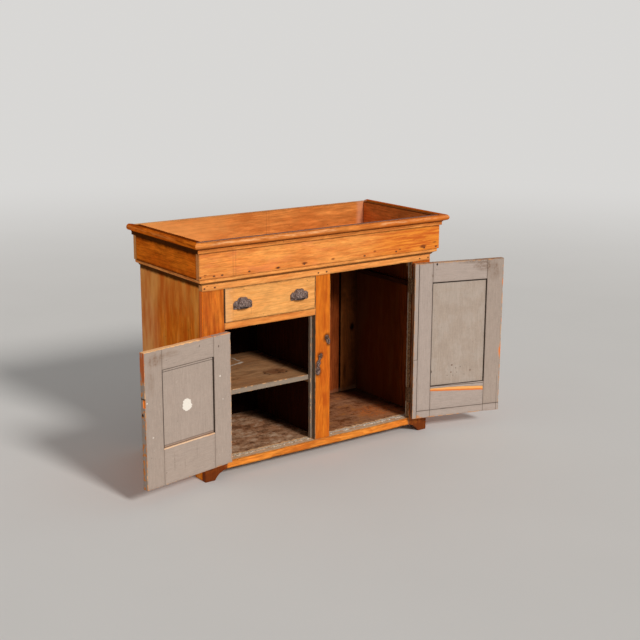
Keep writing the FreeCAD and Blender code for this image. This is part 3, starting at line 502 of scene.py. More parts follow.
def pine(name, low, high, axis, seed, home, tones=ORANGE, spacing=5.5, contrast=0.6, streaks=0.6, gloss=0.45,
         shine=0.1, specks=0.35, soot=0.5, rub=0.5, mottle=0.3, grain=0.5, paint=None, extra=None):
    """Pine with rings, streaks, specks and worn arrises darkened by dirt and painted shade, then the board's own marks
    and its paint.
    """
    s = Shader(name, home)
    s.low, s.high = low / MM, high / MM
    middle, size = (s.low + s.high) / 2, [far - near for near, far in zip(s.low, s.high)]
    thin, wide = sorted((side for side in range(3) if side != axis), key=lambda side: size[side])
    u, v, w = s.at[wide], s.at[thin], s.at[axis]
    seed_u, seed_w = 37 * math.sin(seed * 1.7), 91 * math.sin(seed * 2.9 + 1)

    # rings round the heart of the log, which lies behind the board and leans a little along it
    heart = (middle[wide] + size[wide] * 0.28 * math.sin(seed * 3.3),
             middle[thin] - (38 + 26 * (1 + math.sin(seed * 5.1))))
    lean = (0.03 * math.sin(seed * 4.7), 0.03 * (0.8 + 0.4 * math.cos(seed * 2.3)))
    coarse = s.vector((u * 0.006 + seed_u, v * 0.006, w * 0.0022 + seed_w))
    warp = s.parts(s.noise(coarse, 1.0, 3.0, 0.55, "Color"))
    along = w - middle[axis]
    radius = hypot(*[part - centre + along * slope + (bend - 0.5) * swing
                     for part, centre, slope, bend, swing in zip((u, v), heart, lean, warp, (52, 40))])
    uneven = s.noise((radius * 0.06, seed_u, 0.0))
    turn = (radius / spacing + uneven * 3.5).math("FRACT")
    late = turn.step(0.25, 0.86) * turn.fall(0.88, 1.0)

    s.fibre = s.noise((u * 0.22 + seed_u, v * 0.22, w * 0.02), 1.0, 4.0, 0.66)
    s.streak = s.noise((u * 0.1 + seed_w, v * 0.07, w * 0.007 + seed_u), 1.0, 4.0, 0.68)
    s.patch = s.noise(coarse, 2.3, 3.0, 0.6)
    cloudy = s.noise((u * 0.045 + seed_w, v * 0.045, w * 0.014 + seed_u), 1.0, 5.0, 0.72)
    light, dark, red = tones
    s.colour = s.mix(s.patch.step(0.34, 0.68) * 0.6, light, red)
    s.tint(late * contrast, dark)
    s.tint(s.streak.step(0.46, 0.68) * streaks, dark)
    s.tint(s.streak.step(0.47, 0.32) * (streaks * 0.55), light)
    s.shade(s.fibre * grain + (1 - grain / 2))
    s.shade(cloudy * (mottle * 2) + (1 - mottle))

    # specks and dents
    far, chance = s.cells((u * 0.055 + seed_w, v * 0.055, w * 0.026 + seed_u))
    speck = far.fall(0.05, 0.11) * chance.math("GREATER_THAN", 1 - specks * 0.6)
    s.tint(speck * 0.7, DIRT_AND_SHADE)
    s.rough = s.noise(s.here, 0.05, 4.0)

    # how far a point lies from the board's nearest arris, which is the middle one of its three depths
    depths = [size[side] / 2 - abs(s.at[side] - middle[side]) for side in range(3)]
    s.edge = most(least(*depths[:2]), least(most(*depths[:2]), depths[2]))
    # darker towards every arris: dirt, and on some boards painted shade in the gaps beside them
    s.tint(s.edge.fall(0.0, s.rough * 14 + 0.5) * (soot * 0.62), DIRT_AND_SHADE)
    s.tint(s.edge.fall(0.4, s.rough * 5 + 0.2) * s.rough.step(0.5, 0.62) * rub, light)

    s.height = late * 0.25 + s.fibre * 0.5 - speck * 0.8
    s.gloss = s.fibre * 0.22 + (gloss - 0.08)
    for layer in (extra, paint):
        if layer:
            layer(s)
    return s.done(s.gloss, shine, s.height, 0.35, 0.6 * MM)


def painted(cover, tone=GREY, worn=0.5, bare_edge=5.0, arris=None, details=None, joint=0.6):
    """Old grey paint over the wood where cover says so, rubbed through along an arris."""
    def paint(s):
        whole = cover(s)
        near = arris(s) if arris else s.edge
        rubbed = near.fall(0.6, s.rough * (bare_edge * 2) + 0.4)
        s.mask = (1 - rubbed * s.rough.step(0.62 - worn * 0.3, 0.7 - worn * 0.3)) * whole
        s.tint(s.patch.step(0.4, 0.55, 0.75, 0.25) * whole, TAN)
        cloud = s.noise(s.here, 0.014, 5.0, 0.65)
        s.grit = s.noise(s.here, 0.16, 3.0, 0.7)
        shade = cloud * 0.2 + 0.52 + s.fibre * 0.42 + s.grit * 0.26 + s.streak * 0.08
        s.coat = s.mix(cloud.step(0.4, 0.66, 0.0, 0.45), tone, PALE_GREY if tone == GREY else tone)
        s.coat = s.mix(1.0, s.coat, shade, "MULTIPLY")
        s.stain(cloud.step(0.56, 0.74) * s.grit.step(0.42, 0.6) * 0.2, (120, 92, 70))
        far, chance = s.cells(s.here, 0.06)
        fleck = far.fall(0.05, 0.13) * 0.5
        s.stain(fleck * chance.math("GREATER_THAN", 0.88), SMUDGE_AND_SHADE)
        s.stain(fleck * chance.math("LESS_THAN", 0.08), (214, 204, 190))
        s.stain(s.edge.fall(0.0, s.rough * 22 + 1) * 0.12, (96, 80, 64))
        s.stain(s.edge.fall(0.5, 1.7) * s.grit.step(0.3, 0.5, 0.45, 1.0) * joint, SMUDGE_AND_SHADE)
        if details:
            details(s)
        s.tint(s.mask, s.coat)
        s.height = s.mask * 0.55 + s.height * 0.6
        s.gloss = s.mask * 0.16 + s.gloss
    return paint


# ---- camera, lights and floor

CAMERA_PLACE = Vector((-2.7790, -4.0769, 1.7421))
CAMERA_YAW = math.radians(35.807)
CAMERA_PITCH = math.radians(-13.887)
CAMERA_ROLL = math.radians(0.220)
CAMERA_LENS = 67.993
SENSOR_WIDTH = 36
KEY_FROM = Vector((0.07, -0.865, 0.495))
KEY_SOFTNESS = math.radians(11)
KEY_STRENGTH = 2.35
AMBIENT = 0.33
BACKDROP = (0.69, 0.68, 0.665, 1)
FLOOR_RADIUS = 40
FADE_START, FADE_END = 2500, 9000


def make_camera():
    data = bpy.data.cameras.new("camera")
    data.lens = CAMERA_LENS
    data.sensor_width = SENSOR_WIDTH
    camera = add_object("camera", data)
    camera.matrix_world = (Matrix.Translation(CAMERA_PLACE) @ Matrix.Rotation(-CAMERA_YAW, 4, "Z")
                           @ Matrix.Rotation(math.radians(90) + CAMERA_PITCH, 4, "X")
                           @ Matrix.Rotation(CAMERA_ROLL, 4, "Z"))
    bpy.context.scene.camera = camera


def make_lights():
    data = bpy.data.lights.new("key", "SUN")
    data.energy = KEY_STRENGTH
    data.angle = KEY_SOFTNESS
    data.color = (1.0, 0.975, 0.94)
    add_object("key", data).rotation_euler = (-KEY_FROM).to_track_quat("-Z", "Y").to_euler()
    world = bpy.data.worlds.new("studio")
    bpy.context.scene.world = world
    world.use_nodes = True
    nodes = Nodes(world.node_tree)
    colour = nodes.mix(nodes.seen_directly(), (AMBIENT, AMBIENT * 0.985, AMBIENT * 0.965, 1), BACKDROP)
    nodes.feed(world.node_tree.nodes["Background"].inputs["Color"], colour)


def make_floor():
    """A pale floor that fades into the backdrop's colour far from the object."""
    mesh = bmesh.new()
    bmesh.ops.create_circle(mesh, cap_ends=True, segments=96, radius=FLOOR_RADIUS)
    data = mesh_data("floor", mesh)
    s = Shader("studio_floor")
    s.colour = s.mix(s.noise(s.here, 1.5 * MM, 3.0), (0.70, 0.69, 0.675, 1), (0.74, 0.73, 0.715, 1))
    data.materials.append(s.done(0.8, 0.2))
    far = s.run("ShaderNodeVectorMath", (s.here,), "Value", operation="LENGTH")
    glow = s.run("ShaderNodeEmission", {"Color": BACKDROP})
    blend = s.run("ShaderNodeMixShader", (far.step(FADE_START, FADE_END) * s.seen_directly(),
                                          Field(s, s.surface.outputs[0]), glow))
    s.feed(s.tree.nodes["Material Output"].inputs["Surface"], blend)
    floor = add_object("floor", data)


make_camera()
make_lights()
make_floor()


# ---- masks for painted faces

def everywhere(s):
    return 1.0


def beyond(side, value, reach=0.0):
    """The part of a board past a plane on an axis, its border ragged by reach; a negative side means below it."""
    soft = 1.0 if reach else 0.6

    def mask(s):
        moved = s.at[abs(side) - 1]
        if reach:
            moved = moved + (s.rough - 0.5) * reach
        first, last = (0.0, 1.0) if side > 0 else (1.0, 0.0)
        return moved.step(value - soft, value + soft, first, last)
    return mask


def either(*makers):
    return lambda s: most(*[maker(s) for maker in makers])


# ---- case front

LEFT_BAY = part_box("drawer_rail")[0].x / MM
POST_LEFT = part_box("centre_stile")[0].x / MM
POST_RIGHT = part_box("centre_stile")[1].x / MM
RIGHT_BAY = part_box("bottom_rail")[1].x / MM
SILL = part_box("bottom_rail")[1].z / MM
BAND_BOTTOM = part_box("well_front_board")[0].z / MM
STILE_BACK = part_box("left_stile")[1].y / MM
NAILS = [(low + high) / 2 / MM for low, high in boxes("case_nails")]


def post_age(s):
    """Soft brown clouds on the centre stile, and dark halos round the two turn catches: dirt and painted shadow."""
    for at_x, half_x, at_z, half_z in ((4, 20, 672, 34), (6, 26, 566, 52), (-2, 18, 322, 40), (12, 24, 236, 44),
                                       (-12, 20, 150, 60), (6, 20, 440, 46)):
        cloud = s.spot(s.x, at_x, half_x, s.z, at_z, half_z, 0.5)
        s.tint(cloud * s.streak.step(0.36, 0.58, 0.4, 1.0), (170, 66, 8))
    # dark halos round the catches: dirt and painted shadow
    s.dots(((-14, 20, 424, 20, 0.8), (-23, 20, 396, 18, 0.8), (-26, 24, 362, 30, 0.8),
            (17, 22, 497, 24, 0.8), (27, 18, 478, 20, 0.8)), (72, 32, 12))


def stile_age(way, outer, bay):
    """A stile's outer face is painted brighter, as light, with a dark line painted as shade at the joint behind it;
    painted shade in the gap beside the drawer; its foot has darkened; the right stile has a dark strip beside the bay.
    """
    def extra(s):
        # painted light on the outer face, and painted shade at the joint behind it
        beside = (s.x * way).fall(outer * way + 1.2, outer * way + 2.4)
        s.tint(beside * 0.85, (255, 124, 20))
        s.tint(beside * s.y.step(STILE_BACK - 6, STILE_BACK - 3) * 0.4, (96, 44, 10))
        # painted shade in the gap beside the drawer
        if way > 0:
            s.tint(s.z.inside(624, 760) * (bay - s.x).fall(1.5, 5.0, 0.9), (30, 14, 6))
        s.tint((s.rough * 50 + s.z).fall(55, 110) * 0.85, RED_BROWN)
        # a dark strip on the right stile's front beside the bay
        if way < 0:
            dark_strip = (s.rough * 4 + s.x).fall(RIGHT_BAY + 5, RIGHT_BAY + 9)
            s.tint(dark_strip * s.z.step(100, 120) * 0.85, (44, 28, 16))
    return extra


def hinge_face(s):
    """The right stile's inner face: dirty paint, a paler line down its rear arris."""
    s.stain(s.grit.step(0.46, 0.6, 0.0, 0.8), (190, 146, 102))
    s.stain((s.rough * 4 + s.y).step(STILE_BACK - 7, STILE_BACK - 4), (176, 160, 140))


box_board("top_rail", 0, 1.1, tones=FRIEZE, contrast=0.35, streaks=0.45, grain=0.9,
          extra=lambda s: s.dots([(nail.x, 6.5, nail.z, 4.5, 0.8) for nail in NAILS if nail.z < BAND_BOTTOM], KNOT))
box_board("drawer_rail", 0, 2.3, radius=1.0 * MM, contrast=0.4)
box_board("bottom_rail", 0, 3.7, radius=1.6 * MM, wear=1.4, tones=RAIL, contrast=0.5, specks=1.0, soot=0.9,
          mottle=0.5, rub=0.9, grain=1.0, paint=painted(beyond(3, SILL - 0.8), worn=0.9, bare_edge=8, tone=DUSTY))
box_board("centre_stile", 2, 4.9, radius=1.5 * MM, wear=1.5, tones=POST, contrast=0.45, streaks=0.55, soot=0.35,
          extra=post_age, paint=painted(either(beyond(1, POST_RIGHT - 0.8), beyond(-1, POST_LEFT + 0.8)),
                                        tone=DARK_GREY, worn=0.7))
for node, way, seed, bay, tone, details in (("left_stile", 1, 5.3, LEFT_BAY, EDGE_GREY, None),
                                            ("right_stile", -1, 6.1, RIGHT_BAY, OLIVE, hinge_face)):
    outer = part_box(node)[0 if way > 0 else 1].x / MM
    flat_board(node, 1, 1, seed, tones=STILE, contrast=0.3, spacing=13, mottle=0.6, extra=stile_age(way, outer, bay),
               paint=painted(beyond(way, bay - way * 0.8), worn=0.4, tone=tone, details=details))

# ---- case sides and inside

SIDE_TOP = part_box("bed_mould_left")[0].z / MM
# The two right-hand planks meet at this seam, behind the open door; the others end before the second value
PLANK_SEAM, OTHERS_END = 0.441, 0.2


def side_age(way, inner_face):
    """A side is paler behind and at the top, with darker runs and painted shadow under the moulding; inside it is
    painted nearly black as shade, lighter near the front as painted light.
    """
    def extra(s):
        s.tint((s.patch * 200 + s.y).step(120, 320) * 0.85, (255, 188, 118))
        s.tint((s.rough * 120 + s.z).step(640, 790) * 0.5, (255, 180, 92))
        cloud = s.noise((3.7, s.y * 0.024, s.z * 0.005), 1.0, 3.0, 0.55)
        s.tint(cloud.step(0.34, 0.74, 0.0, 0.7), (212, 84, 8))
        s.tint(cloud.fall(0.3, 0.5, 0.35), (255, 176, 96))
        # painted shadow under the bed moulding
        s.tint((s.rough * 8 + s.z).step(SIDE_TOP - 15, SIDE_TOP - 3) * 0.9, (40, 16, 4))
        inner = s.mix(s.streak.step(0.6, 0.72, 0.0, 0.25), (58, 24, 13), (120, 60, 28))
        # painted light on the inner face near the front
        near_front = s.y.fall(-200, -30) * s.streak.step(0.42, 0.6) * 0.7
        inner = s.mix(near_front, inner, (176, 84, 28))
        # the inner face painted dark, as shade
        s.tint(((s.x - inner_face) * way).fall(0.8, 1.6) * 0.92, inner)
    return extra


def uneven_planks(low, high):
    if high.x > PLANK_SEAM:
        low.x = PLANK_SEAM
    elif high.x > OTHERS_END:
        high.x = PLANK_SEAM
    return low, high


def plank_age(s):
    """Inside, planks are painted nearly black as shade in the left bay; in the right bay they are brown and dusty,
    with painted shade towards the corner, the top and the gaps; outside, plain old pine.
    """
    outer = s.colour
    last = s.high.x > PLANK_SEAM / MM + 1
    bay = s.x.step(4, 8)
    if not last:
        # painted shade: the left bay nearly black
        s.shade(s.mix(bay, (0.028, 0.035, 0.07, 1), (0.92, 0.70, 0.62, 1)))
    clean = s.colour
    s.tint(s.x.step(PLANK_SEAM / MM, PLANK_SEAM / MM + 2, 0.0, 0.45), (144, 92, 44))
    # painted shade towards the right-hand corner
    s.tint((s.rough * 30 + s.x).step(475, 555) * 0.8, (44, 20, 12))
    # painted shadow of the top rail over the upper part
    s.tint((s.rough * 160 + s.z).step(480, 700) * 0.6, (40, 20, 10))
    # painted shade in the gaps along each plank's edges
    beside = least(s.x - s.low.x, s.high.x - s.x) + s.rough * 5
    s.tint(beside.fall(6.0, 10.5, 0.97), (12, 6, 4))
    s.tint((s.rough * 24 + s.z).fall(92, 106, 0.45), (150, 110, 82))
    inside = s.y.fall(s.high.y - 1.6, s.high.y - 0.8)
    s.colour = s.mix(inside, outer, s.mix(bay, clean, s.colour))
    if last:
        s.dots(((511, 17, 370, 26, 0.97), (470, 10, 160, 60, 0.5)), (14, 8, 5))


for node, way, seed in (("left_side", -1, 7.7), ("right_side", 1, 8.9)):
    inner_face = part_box(node)[1 if way < 0 else 0].x / MM
    flat_board(node, 0, way, seed, tones=SIDE, contrast=0.2, streaks=0.25, spacing=13, gloss=0.6, shine=0.0,
               mottle=0.6, grain=0.9, extra=side_age(way, inner_face))
box_board("back_boards", 2, 9.3, trim=uneven_planks, laid=(0, 5), tones=BACK, contrast=0.5, gloss=0.75, shine=0.0,
          specks=0.6, soot=0.4, mottle=0.6, extra=plank_age)
box_board("centre_partition", 2, 10.1, inset=0.1 * MM, tones=INNER, gloss=0.7, contrast=0.5, shine=0.0)
box_board("right_wall_batten", 1, 11.9, tones=INNER, gloss=0.7)
box_board("frieze_blocks", 0, 12.7, tones=RAW, gloss=0.7)
box_board("cleats", 1, 13.3, tones=SHELF, gloss=0.7)
box_board("drawer_runners", 1, 14.7, tones=RAW, gloss=0.6)
box_board("drawer_guides", 1, 15.1, tones=RAW, gloss=0.6)

# ---- shelf and floor

SHELF_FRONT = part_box("middle_shelf")[0].y / MM
FLOOR_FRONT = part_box("bottom_boards")[0].y / MM


def ring_stain(s, x0, y0, radius, strength):
    """A broken, uneven ring such as a wet jar leaves."""
    far = hypot(s.x - x0, s.y - y0) + s.rough * 34
    broken = s.noise((s.x * 0.035, s.y * 0.035, x0)).step(0.42, 0.56)
    s.tint(far.inside(radius + 13, radius + 21, 2.5) * broken * strength, DIRT_AND_SHADE)


def scuff(s, x0, y0, x1, y1, half, strength):
    """A ragged pale line on a level board from one point to another."""
    long = math.hypot(x1 - x0, y1 - y0)
    way_x, way_y = (x1 - x0) / long, (y1 - y0) / long
    from_x, from_y = s.x - x0, s.y - y0
    along = from_x * way_x + from_y * way_y
    off = abs(from_x * way_y - from_y * way_x + (s.rough - 0.5) * 16)
    s.tint(along.inside(0, long, 5) * off.fall(half - 1, half + 2) * strength, (224, 212, 196))


def shelf_wear(s):
    """A brown smudge with broken rings, two pale scuffs, painted shade along the partition, a rubbed front arris."""
    s.tint(s.spot(s.x, -130, 66, s.y, -90, 60, 0.8) * s.streak.step(0.36, 0.56, 0.6, 1.0), (112, 60, 32))
    for ring in ((-150, -96, 32, 0.9), (-110, -104, 22, 0.95), (-330, -60, 36, 0.4)):
        ring_stain(s, *ring)
    s.tint(s.streak.step(0.5, 0.68) * 0.3, (214, 178, 140))
    for line in ((-170, 186, -171, 122, 3.5, 0.6), (-236, 82, -200, 92, 4, 0.75),
                 (-200, 92, -166, 104, 6.5, 0.9), (-204, 150, -182, 150, 2, 0.3)):
        scuff(s, *line)
    # painted shade along the partition
    s.tint((s.rough * 40 + s.x).step(-75, 5) * 0.85, DEEP_SHADE)
    rubbed = s.y.fall(SHELF_FRONT + 2, SHELF_FRONT + 6) * s.rough.step(0.34, 0.5, 0.3, 1.0)
    s.tint(rubbed * 0.7, (214, 150, 96))


def floor_wear(s):
    """Curling water marks, dust, painted shade along the partition, the right wall and the back, and a rubbed, grainy
    patch towards the right.
    """
    curl = s.noise((s.x * 0.008, s.y * 0.011, 3.1), 1.0, 4.0, 0.6)
    s.tint(abs((curl * 12).math("FRACT") - 0.5).fall(0.0, 0.1) * 0.6, DIRT_AND_SHADE)
    clouds = s.noise((s.x * 0.02, s.y * 0.024, 7.7), 1.0, 5.0, 0.7)
    right_bay = s.x.step(0, 60)
    s.tint(clouds.step(0.5, 0.66, 0.0, 0.6), s.mix(right_bay, (226, 196, 166), (206, 140, 76)))
    s.tint(clouds.fall(0.36, 0.5, 0.7), s.mix(right_bay, (84, 52, 34), (58, 28, 14)))
    s.tint(right_bay * 0.3, (150, 78, 30))
    grains = s.noise((s.x * 0.13, s.y * 0.07, 1.3), 1.0, 4.0, 0.75)
    patch = s.spot(s.x, 400, 135, s.y, -95, 100, 0.9)
    s.tint(patch * grains.step(0.42, 0.56, 0.1, 0.85), (208, 116, 58))
    s.tint(patch * grains.fall(0.3, 0.42, 0.7), (70, 34, 18))
    uneven = s.rough * 30 + s.x
    # painted shade along the partition, the right wall and the back
    partition = (s.y * 0.3 + uneven).step(-62, 0) * s.x.fall(0, 6)
    wall = (s.y * 0.22 + uneven).step(446, 530)
    behind = (s.rough * 60 + s.y).step(190, 260) * s.x.step(300, 460)
    s.tint(most(partition, wall, behind) * 0.85, DEEP_SHADE)


def floor_strip(s):
    """The paint along the floor's front: pale, gritty, rubbed down to tan in a ragged line."""
    s.stain(s.x.step(-60, 120) * 0.5, (206, 196, 184))
    s.stain(s.grit.step(0.5, 0.6, 0.0, 0.85), (246, 234, 216))
    s.stain(s.grit.fall(0.36, 0.45, 0.8), (96, 66, 44))
    line = (s.rough * 34 + s.y).step(FLOOR_FRONT + 31, FLOOR_FRONT + 35)
    s.stain(line * s.grit.step(0.36, 0.5, 0.2, 1.0) * 0.8, (240, 182, 122))


box_board("middle_shelf", 0, 16.3, radius=1.4 * MM, wear=0.5, tones=SHELF, gloss=0.7, streaks=0.7, shine=0.05,
          soot=0.2, mottle=0.55, extra=shelf_wear,
          paint=painted(beyond(-2, SHELF_FRONT + 1.2), worn=0.35, bare_edge=3, tone=EDGE_GREY))
box_board("bottom_boards", 0, 17.9, laid=(1, 2), tones=FLOOR, gloss=0.7, contrast=0.35, streaks=0.35, soot=0.3,
          shine=0.0, mottle=0.7, extra=floor_wear,
          paint=painted(beyond(-2, FLOOR_FRONT + 26, 34), worn=0.6, tone=DUSTY, details=floor_strip))
box_board("door_stops", 2, 18.7, tones=SHELF, paint=painted(everywhere, worn=0.3, tone=EDGE_GREY))

# ---- well

BOARD_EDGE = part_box("well_front_board")[0].x / MM
# Knots and dents on the band: middle and half size across, then upright, and strength
BAND_MARKS = ((498, 24, 826, 9, 0.9), (-235, 14, 818, 5.5, 0.85), (-109, 18, 823, 6, 0.85), (28, 14, 824, 5.5, 0.8),
              (240, 10, 832, 5, 0.7), (-560, 9, 826, 4, 0.7), (560, 14, 838, 4, 0.6), (372, 8, 826, 5, 0.7))


def scratches(s, places, half, strength, tone):
    for at in places:
        s.tint((s.rough * 2 + s.x).near(at + 0.1, half, 1.2) * strength, tone)


def band_marks(s):
    """Two faint upright scratches, a redder right end, lighter ends, a blush, painted shadow under the rim, a darker
    top edge, stained nails and dark knots.
    """
    scratches(s, (-437, -425), 1.5, 0.28, (120, 70, 50))
    deeper = s.mix(s.streak.step(0.4, 0.6), (236, 140, 38), (196, 86, 14))
    s.tint((s.patch * 260 + s.x).step(120, 640) * 0.75, deeper)
    s.tint(abs(s.x).step(-BOARD_EDGE - 1.4, -BOARD_EDGE - 0.7) * 0.5, (220, 136, 66))
    blush = s.noise((s.x * 0.006, 2.0, s.z * 0.02), 1.0, 4.0, 0.6).step(0.5, 0.62)
    s.tint(blush * s.x.fall(60, 240, 0.3), (236, 130, 84))
    # painted shadow under the rim
    s.tint(s.z.inside(904, 915, 6) * 0.4, (150, 78, 28))
    s.tint(s.z.step(946, 948, 0.0, 0.9), RED_BROWN)
    s.dots([(nail.x, 7.5, nail.z, 4.5, 0.8) for nail in NAILS if nail.z > BAND_BOTTOM], KNOT)
    s.dots(BAND_MARKS, KNOT)


def well_age(s):
    """The well's back is golden at its left end, with two faint upright marks and a pale joint at the right."""
    s.tint((s.patch * 500 + s.x).fall(-260, 260) * 0.55, (240, 170, 98))
    scratches(s, (40, 53), 1.3, 0.3, (120, 66, 40))
    s.tint((s.rough * 10 + s.x).step(-BOARD_EDGE - 64, -BOARD_EDGE - 40) * 0.5, (222, 160, 128))


def end_shade(s):
    """Painted shadow under the rim and a darker band above the lower moulding on the outer face, a darker top edge;
    the right end is warmer, the left one darker inside.
    """
    uneven = s.rough * 10 + s.z
    outside = abs(s.x).step(-BOARD_EDGE - 2, -BOARD_EDGE - 1)
    right = s.x.step(0, 1)
    s.tint(outside * right * 0.55, (226, 112, 30))
    # painted shadow under the rim
    s.tint(uneven.step(896, 912) * outside * 0.9, (36, 14, 4))
    s.tint(uneven.fall(813, 824) * outside * 0.7, (50, 20, 6))
    s.tint(s.x.step(BOARD_EDGE + 1, BOARD_EDGE + 2, 0.0, 0.45) * (1 - right), (96, 34, 4))
    s.tint(s.z.step(946, 948, 0.0, 0.8), RED_BROWN)


box_board("well_front_board", 0, 19.1, tones=BAND, contrast=0.35, streaks=0.7, specks=0.6, spacing=6, mottle=0.45,
          grain=1.0, extra=band_marks)
box_board("well_back_board", 0, 20.9, tones=WELL, contrast=0.45, streaks=0.5, spacing=9, shine=0.04, mottle=0.45,
          grain=0.9, extra=well_age)
box_board("well_left_end", 1, 21.7, inset=0.1 * MM, tones=END, contrast=0.25, streaks=0.4, shine=0.0, mottle=0.8,
          extra=end_shade)
box_board("well_right_end", 1, 22.1, inset=0.1 * MM, tones=WELL, contrast=0.3, streaks=0.5, shine=0.0, mottle=0.7,
          extra=end_shade)
box_board("well_floor", 0, 23.9, laid=(1, 3), tones=WELL, streaks=0.7, gloss=0.55, soot=0.9)

# ---- mouldings

# Heights on each moulding painted dark, as painted shade in its quirks and coves with some dirt: height, half width
# and strength
GROOVE_SHADE = {"rim_front": ((927, 3.0, 0.75), (918, 1.4, 0.3), (910.2, 1.2, 0.6)),
         "rim": ((921, 10.5, 0.93), (910.2, 1.2, 0.75)),
         "bed_mould_front": ((788, 3.5, 0.75), (808.6, 0.9, 0.6)),
         "bed_mould": ((786, 5.5, 0.92), (807.5, 1.6, 0.85))}
# How far the rim's dark inner strip reaches in from the board's face
INNER_STRIP = {"front": 7, "left": 13, "right": 13}
# Stretches along a moulding, and how much of its nose, beyond a depth, wear may take
STRETCHES = {"front": 56, "left": 26, "right": 26}
NOSE_DEPTH, NOSE_WEAR = 12 * MM, 0.045
MOULDING_FACE = {"rim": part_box("well_front_board")[0], "bed_mould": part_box("top_rail")[0]}


def grooves(family, place):
    """Painted shade with some dirt in a moulding's quirks; on the rim a dark strip along the inner top edge, a darker
    top face, painted shade on the torus's lower half and painted highlights on its crown.
    """
    front, right = place == "front", place == "right"
    face, strip = MOULDING_FACE[family] / MM, INNER_STRIP[place]

    def extra(s):
        if family == "rim" and front:
            redder = (s.patch * 260 + s.x).step(0, 640, 0.15, 0.6)
            s.tint(redder * s.z.step(918, 926), (206, 102, 26))
        # painted shade in the quirks and coves, with some dirt
        for height, half, strength in GROOVE_SHADE[f"{family}_front" if front else family]:
            s.tint(((s.rough - 0.5) * 3 + s.z).near(height, half, 0.8) * strength, DIRT_AND_SHADE)
        if family != "rim":
            return
        if front:
            inner = s.y.step(face.y - strip - 2, face.y - strip + 2)
        else:
            inner = (s.x * (1 if right else -1)).fall(-face.x + strip - 2, -face.x + strip + 2)
        inner = inner * s.z.step(944, 948) * s.rough.step(0.3, 0.5, 0.75, 1.0)
        s.tint(inner * (0.5 if right else 0.93), (150, 66, 14) if right else (96, 34, 2))
        top = s.z.step(950, 953) * s.rough.step(0.35, 0.6, 0.3, 1.0)
        s.tint(top * (0.4 if right else 0.5), (132, 56, 10))
        # painted shade on the lower half of the torus
        s.tint(s.z.inside(926, 936, 4) * 0.35, (160, 78, 22))
        # painted highlights along the crown of the torus
        painted_highlight = s.z.inside(942, 950, 3) * s.patch.step(0.44, 0.6) * s.fibre.step(0.38, 0.56)
        s.tint(painted_highlight * 0.45, (255, 210, 156) if front else (246, 160, 84))
    return extra


def moulding(family, place, seed, tones):
    """A mitred moulding: the CAD's own section, swept with a little wear on its nose."""
    node = f"{family}_{place}"
    low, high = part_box(node)
    front = place == "front"
    face = MOULDING_FACE[family]
    way = 1 if place == "right" else -1
    outline = face_outline(f"{family}_left" if front else node, 1, 1)
    section = [(way * point.x - abs(face.x), point.z) for point in outline]
    stations = STRETCHES[place]
    rings = []
    for step in range(stations + 1):
        share = step / stations
        fade = min(1, 20 * share * (1 - share))
        ring = []
        for depth, rise in section:
            worn = max(0, waver(seed, share * 9, rise * 30)) * (depth > NOSE_DEPTH) * fade
            reach = depth * (1 - NOSE_WEAR * worn)
            if front:
                ring.append(Vector(((face.x - depth) * (1 - 2 * share), face.y - reach, rise)))
            else:
                start = face.y - depth
                ring.append(Vector((way * (abs(face.x) + reach), start + (high.y - start) * share, rise)))
        rings.append(ring)
    material = pine(node, low, high, 0 if front else 1, seed, HERE, tones=tones, contrast=0.3, streaks=0.7, gloss=0.36,
                    shine=0.02 if front else 0.0, soot=0, rub=0, spacing=5, mottle=0.6, grain=0.9,
                    extra=grooves(family, place))
    finish_piece(f"{node}_moulding", rings_to_mesh(rings), node, material)


for number, (family, place, tones) in enumerate((("rim", "front", NOSING), ("rim", "left", END), ("rim", "right", END),
                                                 ("bed_mould", "front", FRIEZE), ("bed_mould", "left", LIP),
                                                 ("bed_mould", "right", LIP))):
    moulding(family, place, 24.3 + number * 1.9, tones)

# ---- drawer

# The outline that an older pull has left on the drawer's front
OLD_PULL = SimpleNamespace(left=-425, right=-343, foot=634, top=672)


def drawer_marks(s):
    """The faint outline of an older pull, a darker patch round each pull, a paler left end and painted shade in the
    gap at the left end.
    """
    upright = most(s.x.near(OLD_PULL.left, 1.2, 1.0), s.x.near(OLD_PULL.right, 1.2, 1.0))
    upright = upright * s.z.inside(OLD_PULL.foot + 8, OLD_PULL.top, 3)
    flat = s.z.near(OLD_PULL.foot, 1.2, 1.0) * s.x.inside(OLD_PULL.left + 10, OLD_PULL.right - 10, 5)
    s.tint(most(upright, flat) * s.rough.step(0.3, 0.5, 0.3, 1.0) * 0.4, (150, 96, 60))
    s.dots(((-382.5, 47, 690, 26, 0.45), (-118.5, 47, 690, 26, 0.45)), (196, 118, 62))
    s.tint((s.rough * 60 + s.x).fall(-430, -380) * 0.3, (232, 190, 146))
    # painted shade in the gap beside the stile
    s.tint((s.x - s.low.x).fall(1.5, 4.5, 0.9), (40, 20, 8))


box_board("drawer_front", 0, 31.3, radius=1.2 * MM, tones=PALE, contrast=0.22, streaks=0.5, specks=0.3, mottle=0.5,
          grain=0.9, soot=1.0, extra=drawer_marks)
for node, axis, seed in (("drawer_left_side", 1, 32.1), ("drawer_right_side", 1, 33.7),
                         ("drawer_back", 0, 34.3), ("drawer_bottom", 0, 35.9)):
    box_board(node, axis, seed, radius=0.8 * MM, inset=0.1 * MM, tones=RAW, gloss=0.65)

# ---- doors

DOOR_PARTS = (("hinge_stile", 2), ("free_stile", 2), ("top_rail", 0), ("bottom_rail", 0), ("panel", 2))
STRIPS = (("edge_strip", 2), ("bottom_strip", 0))
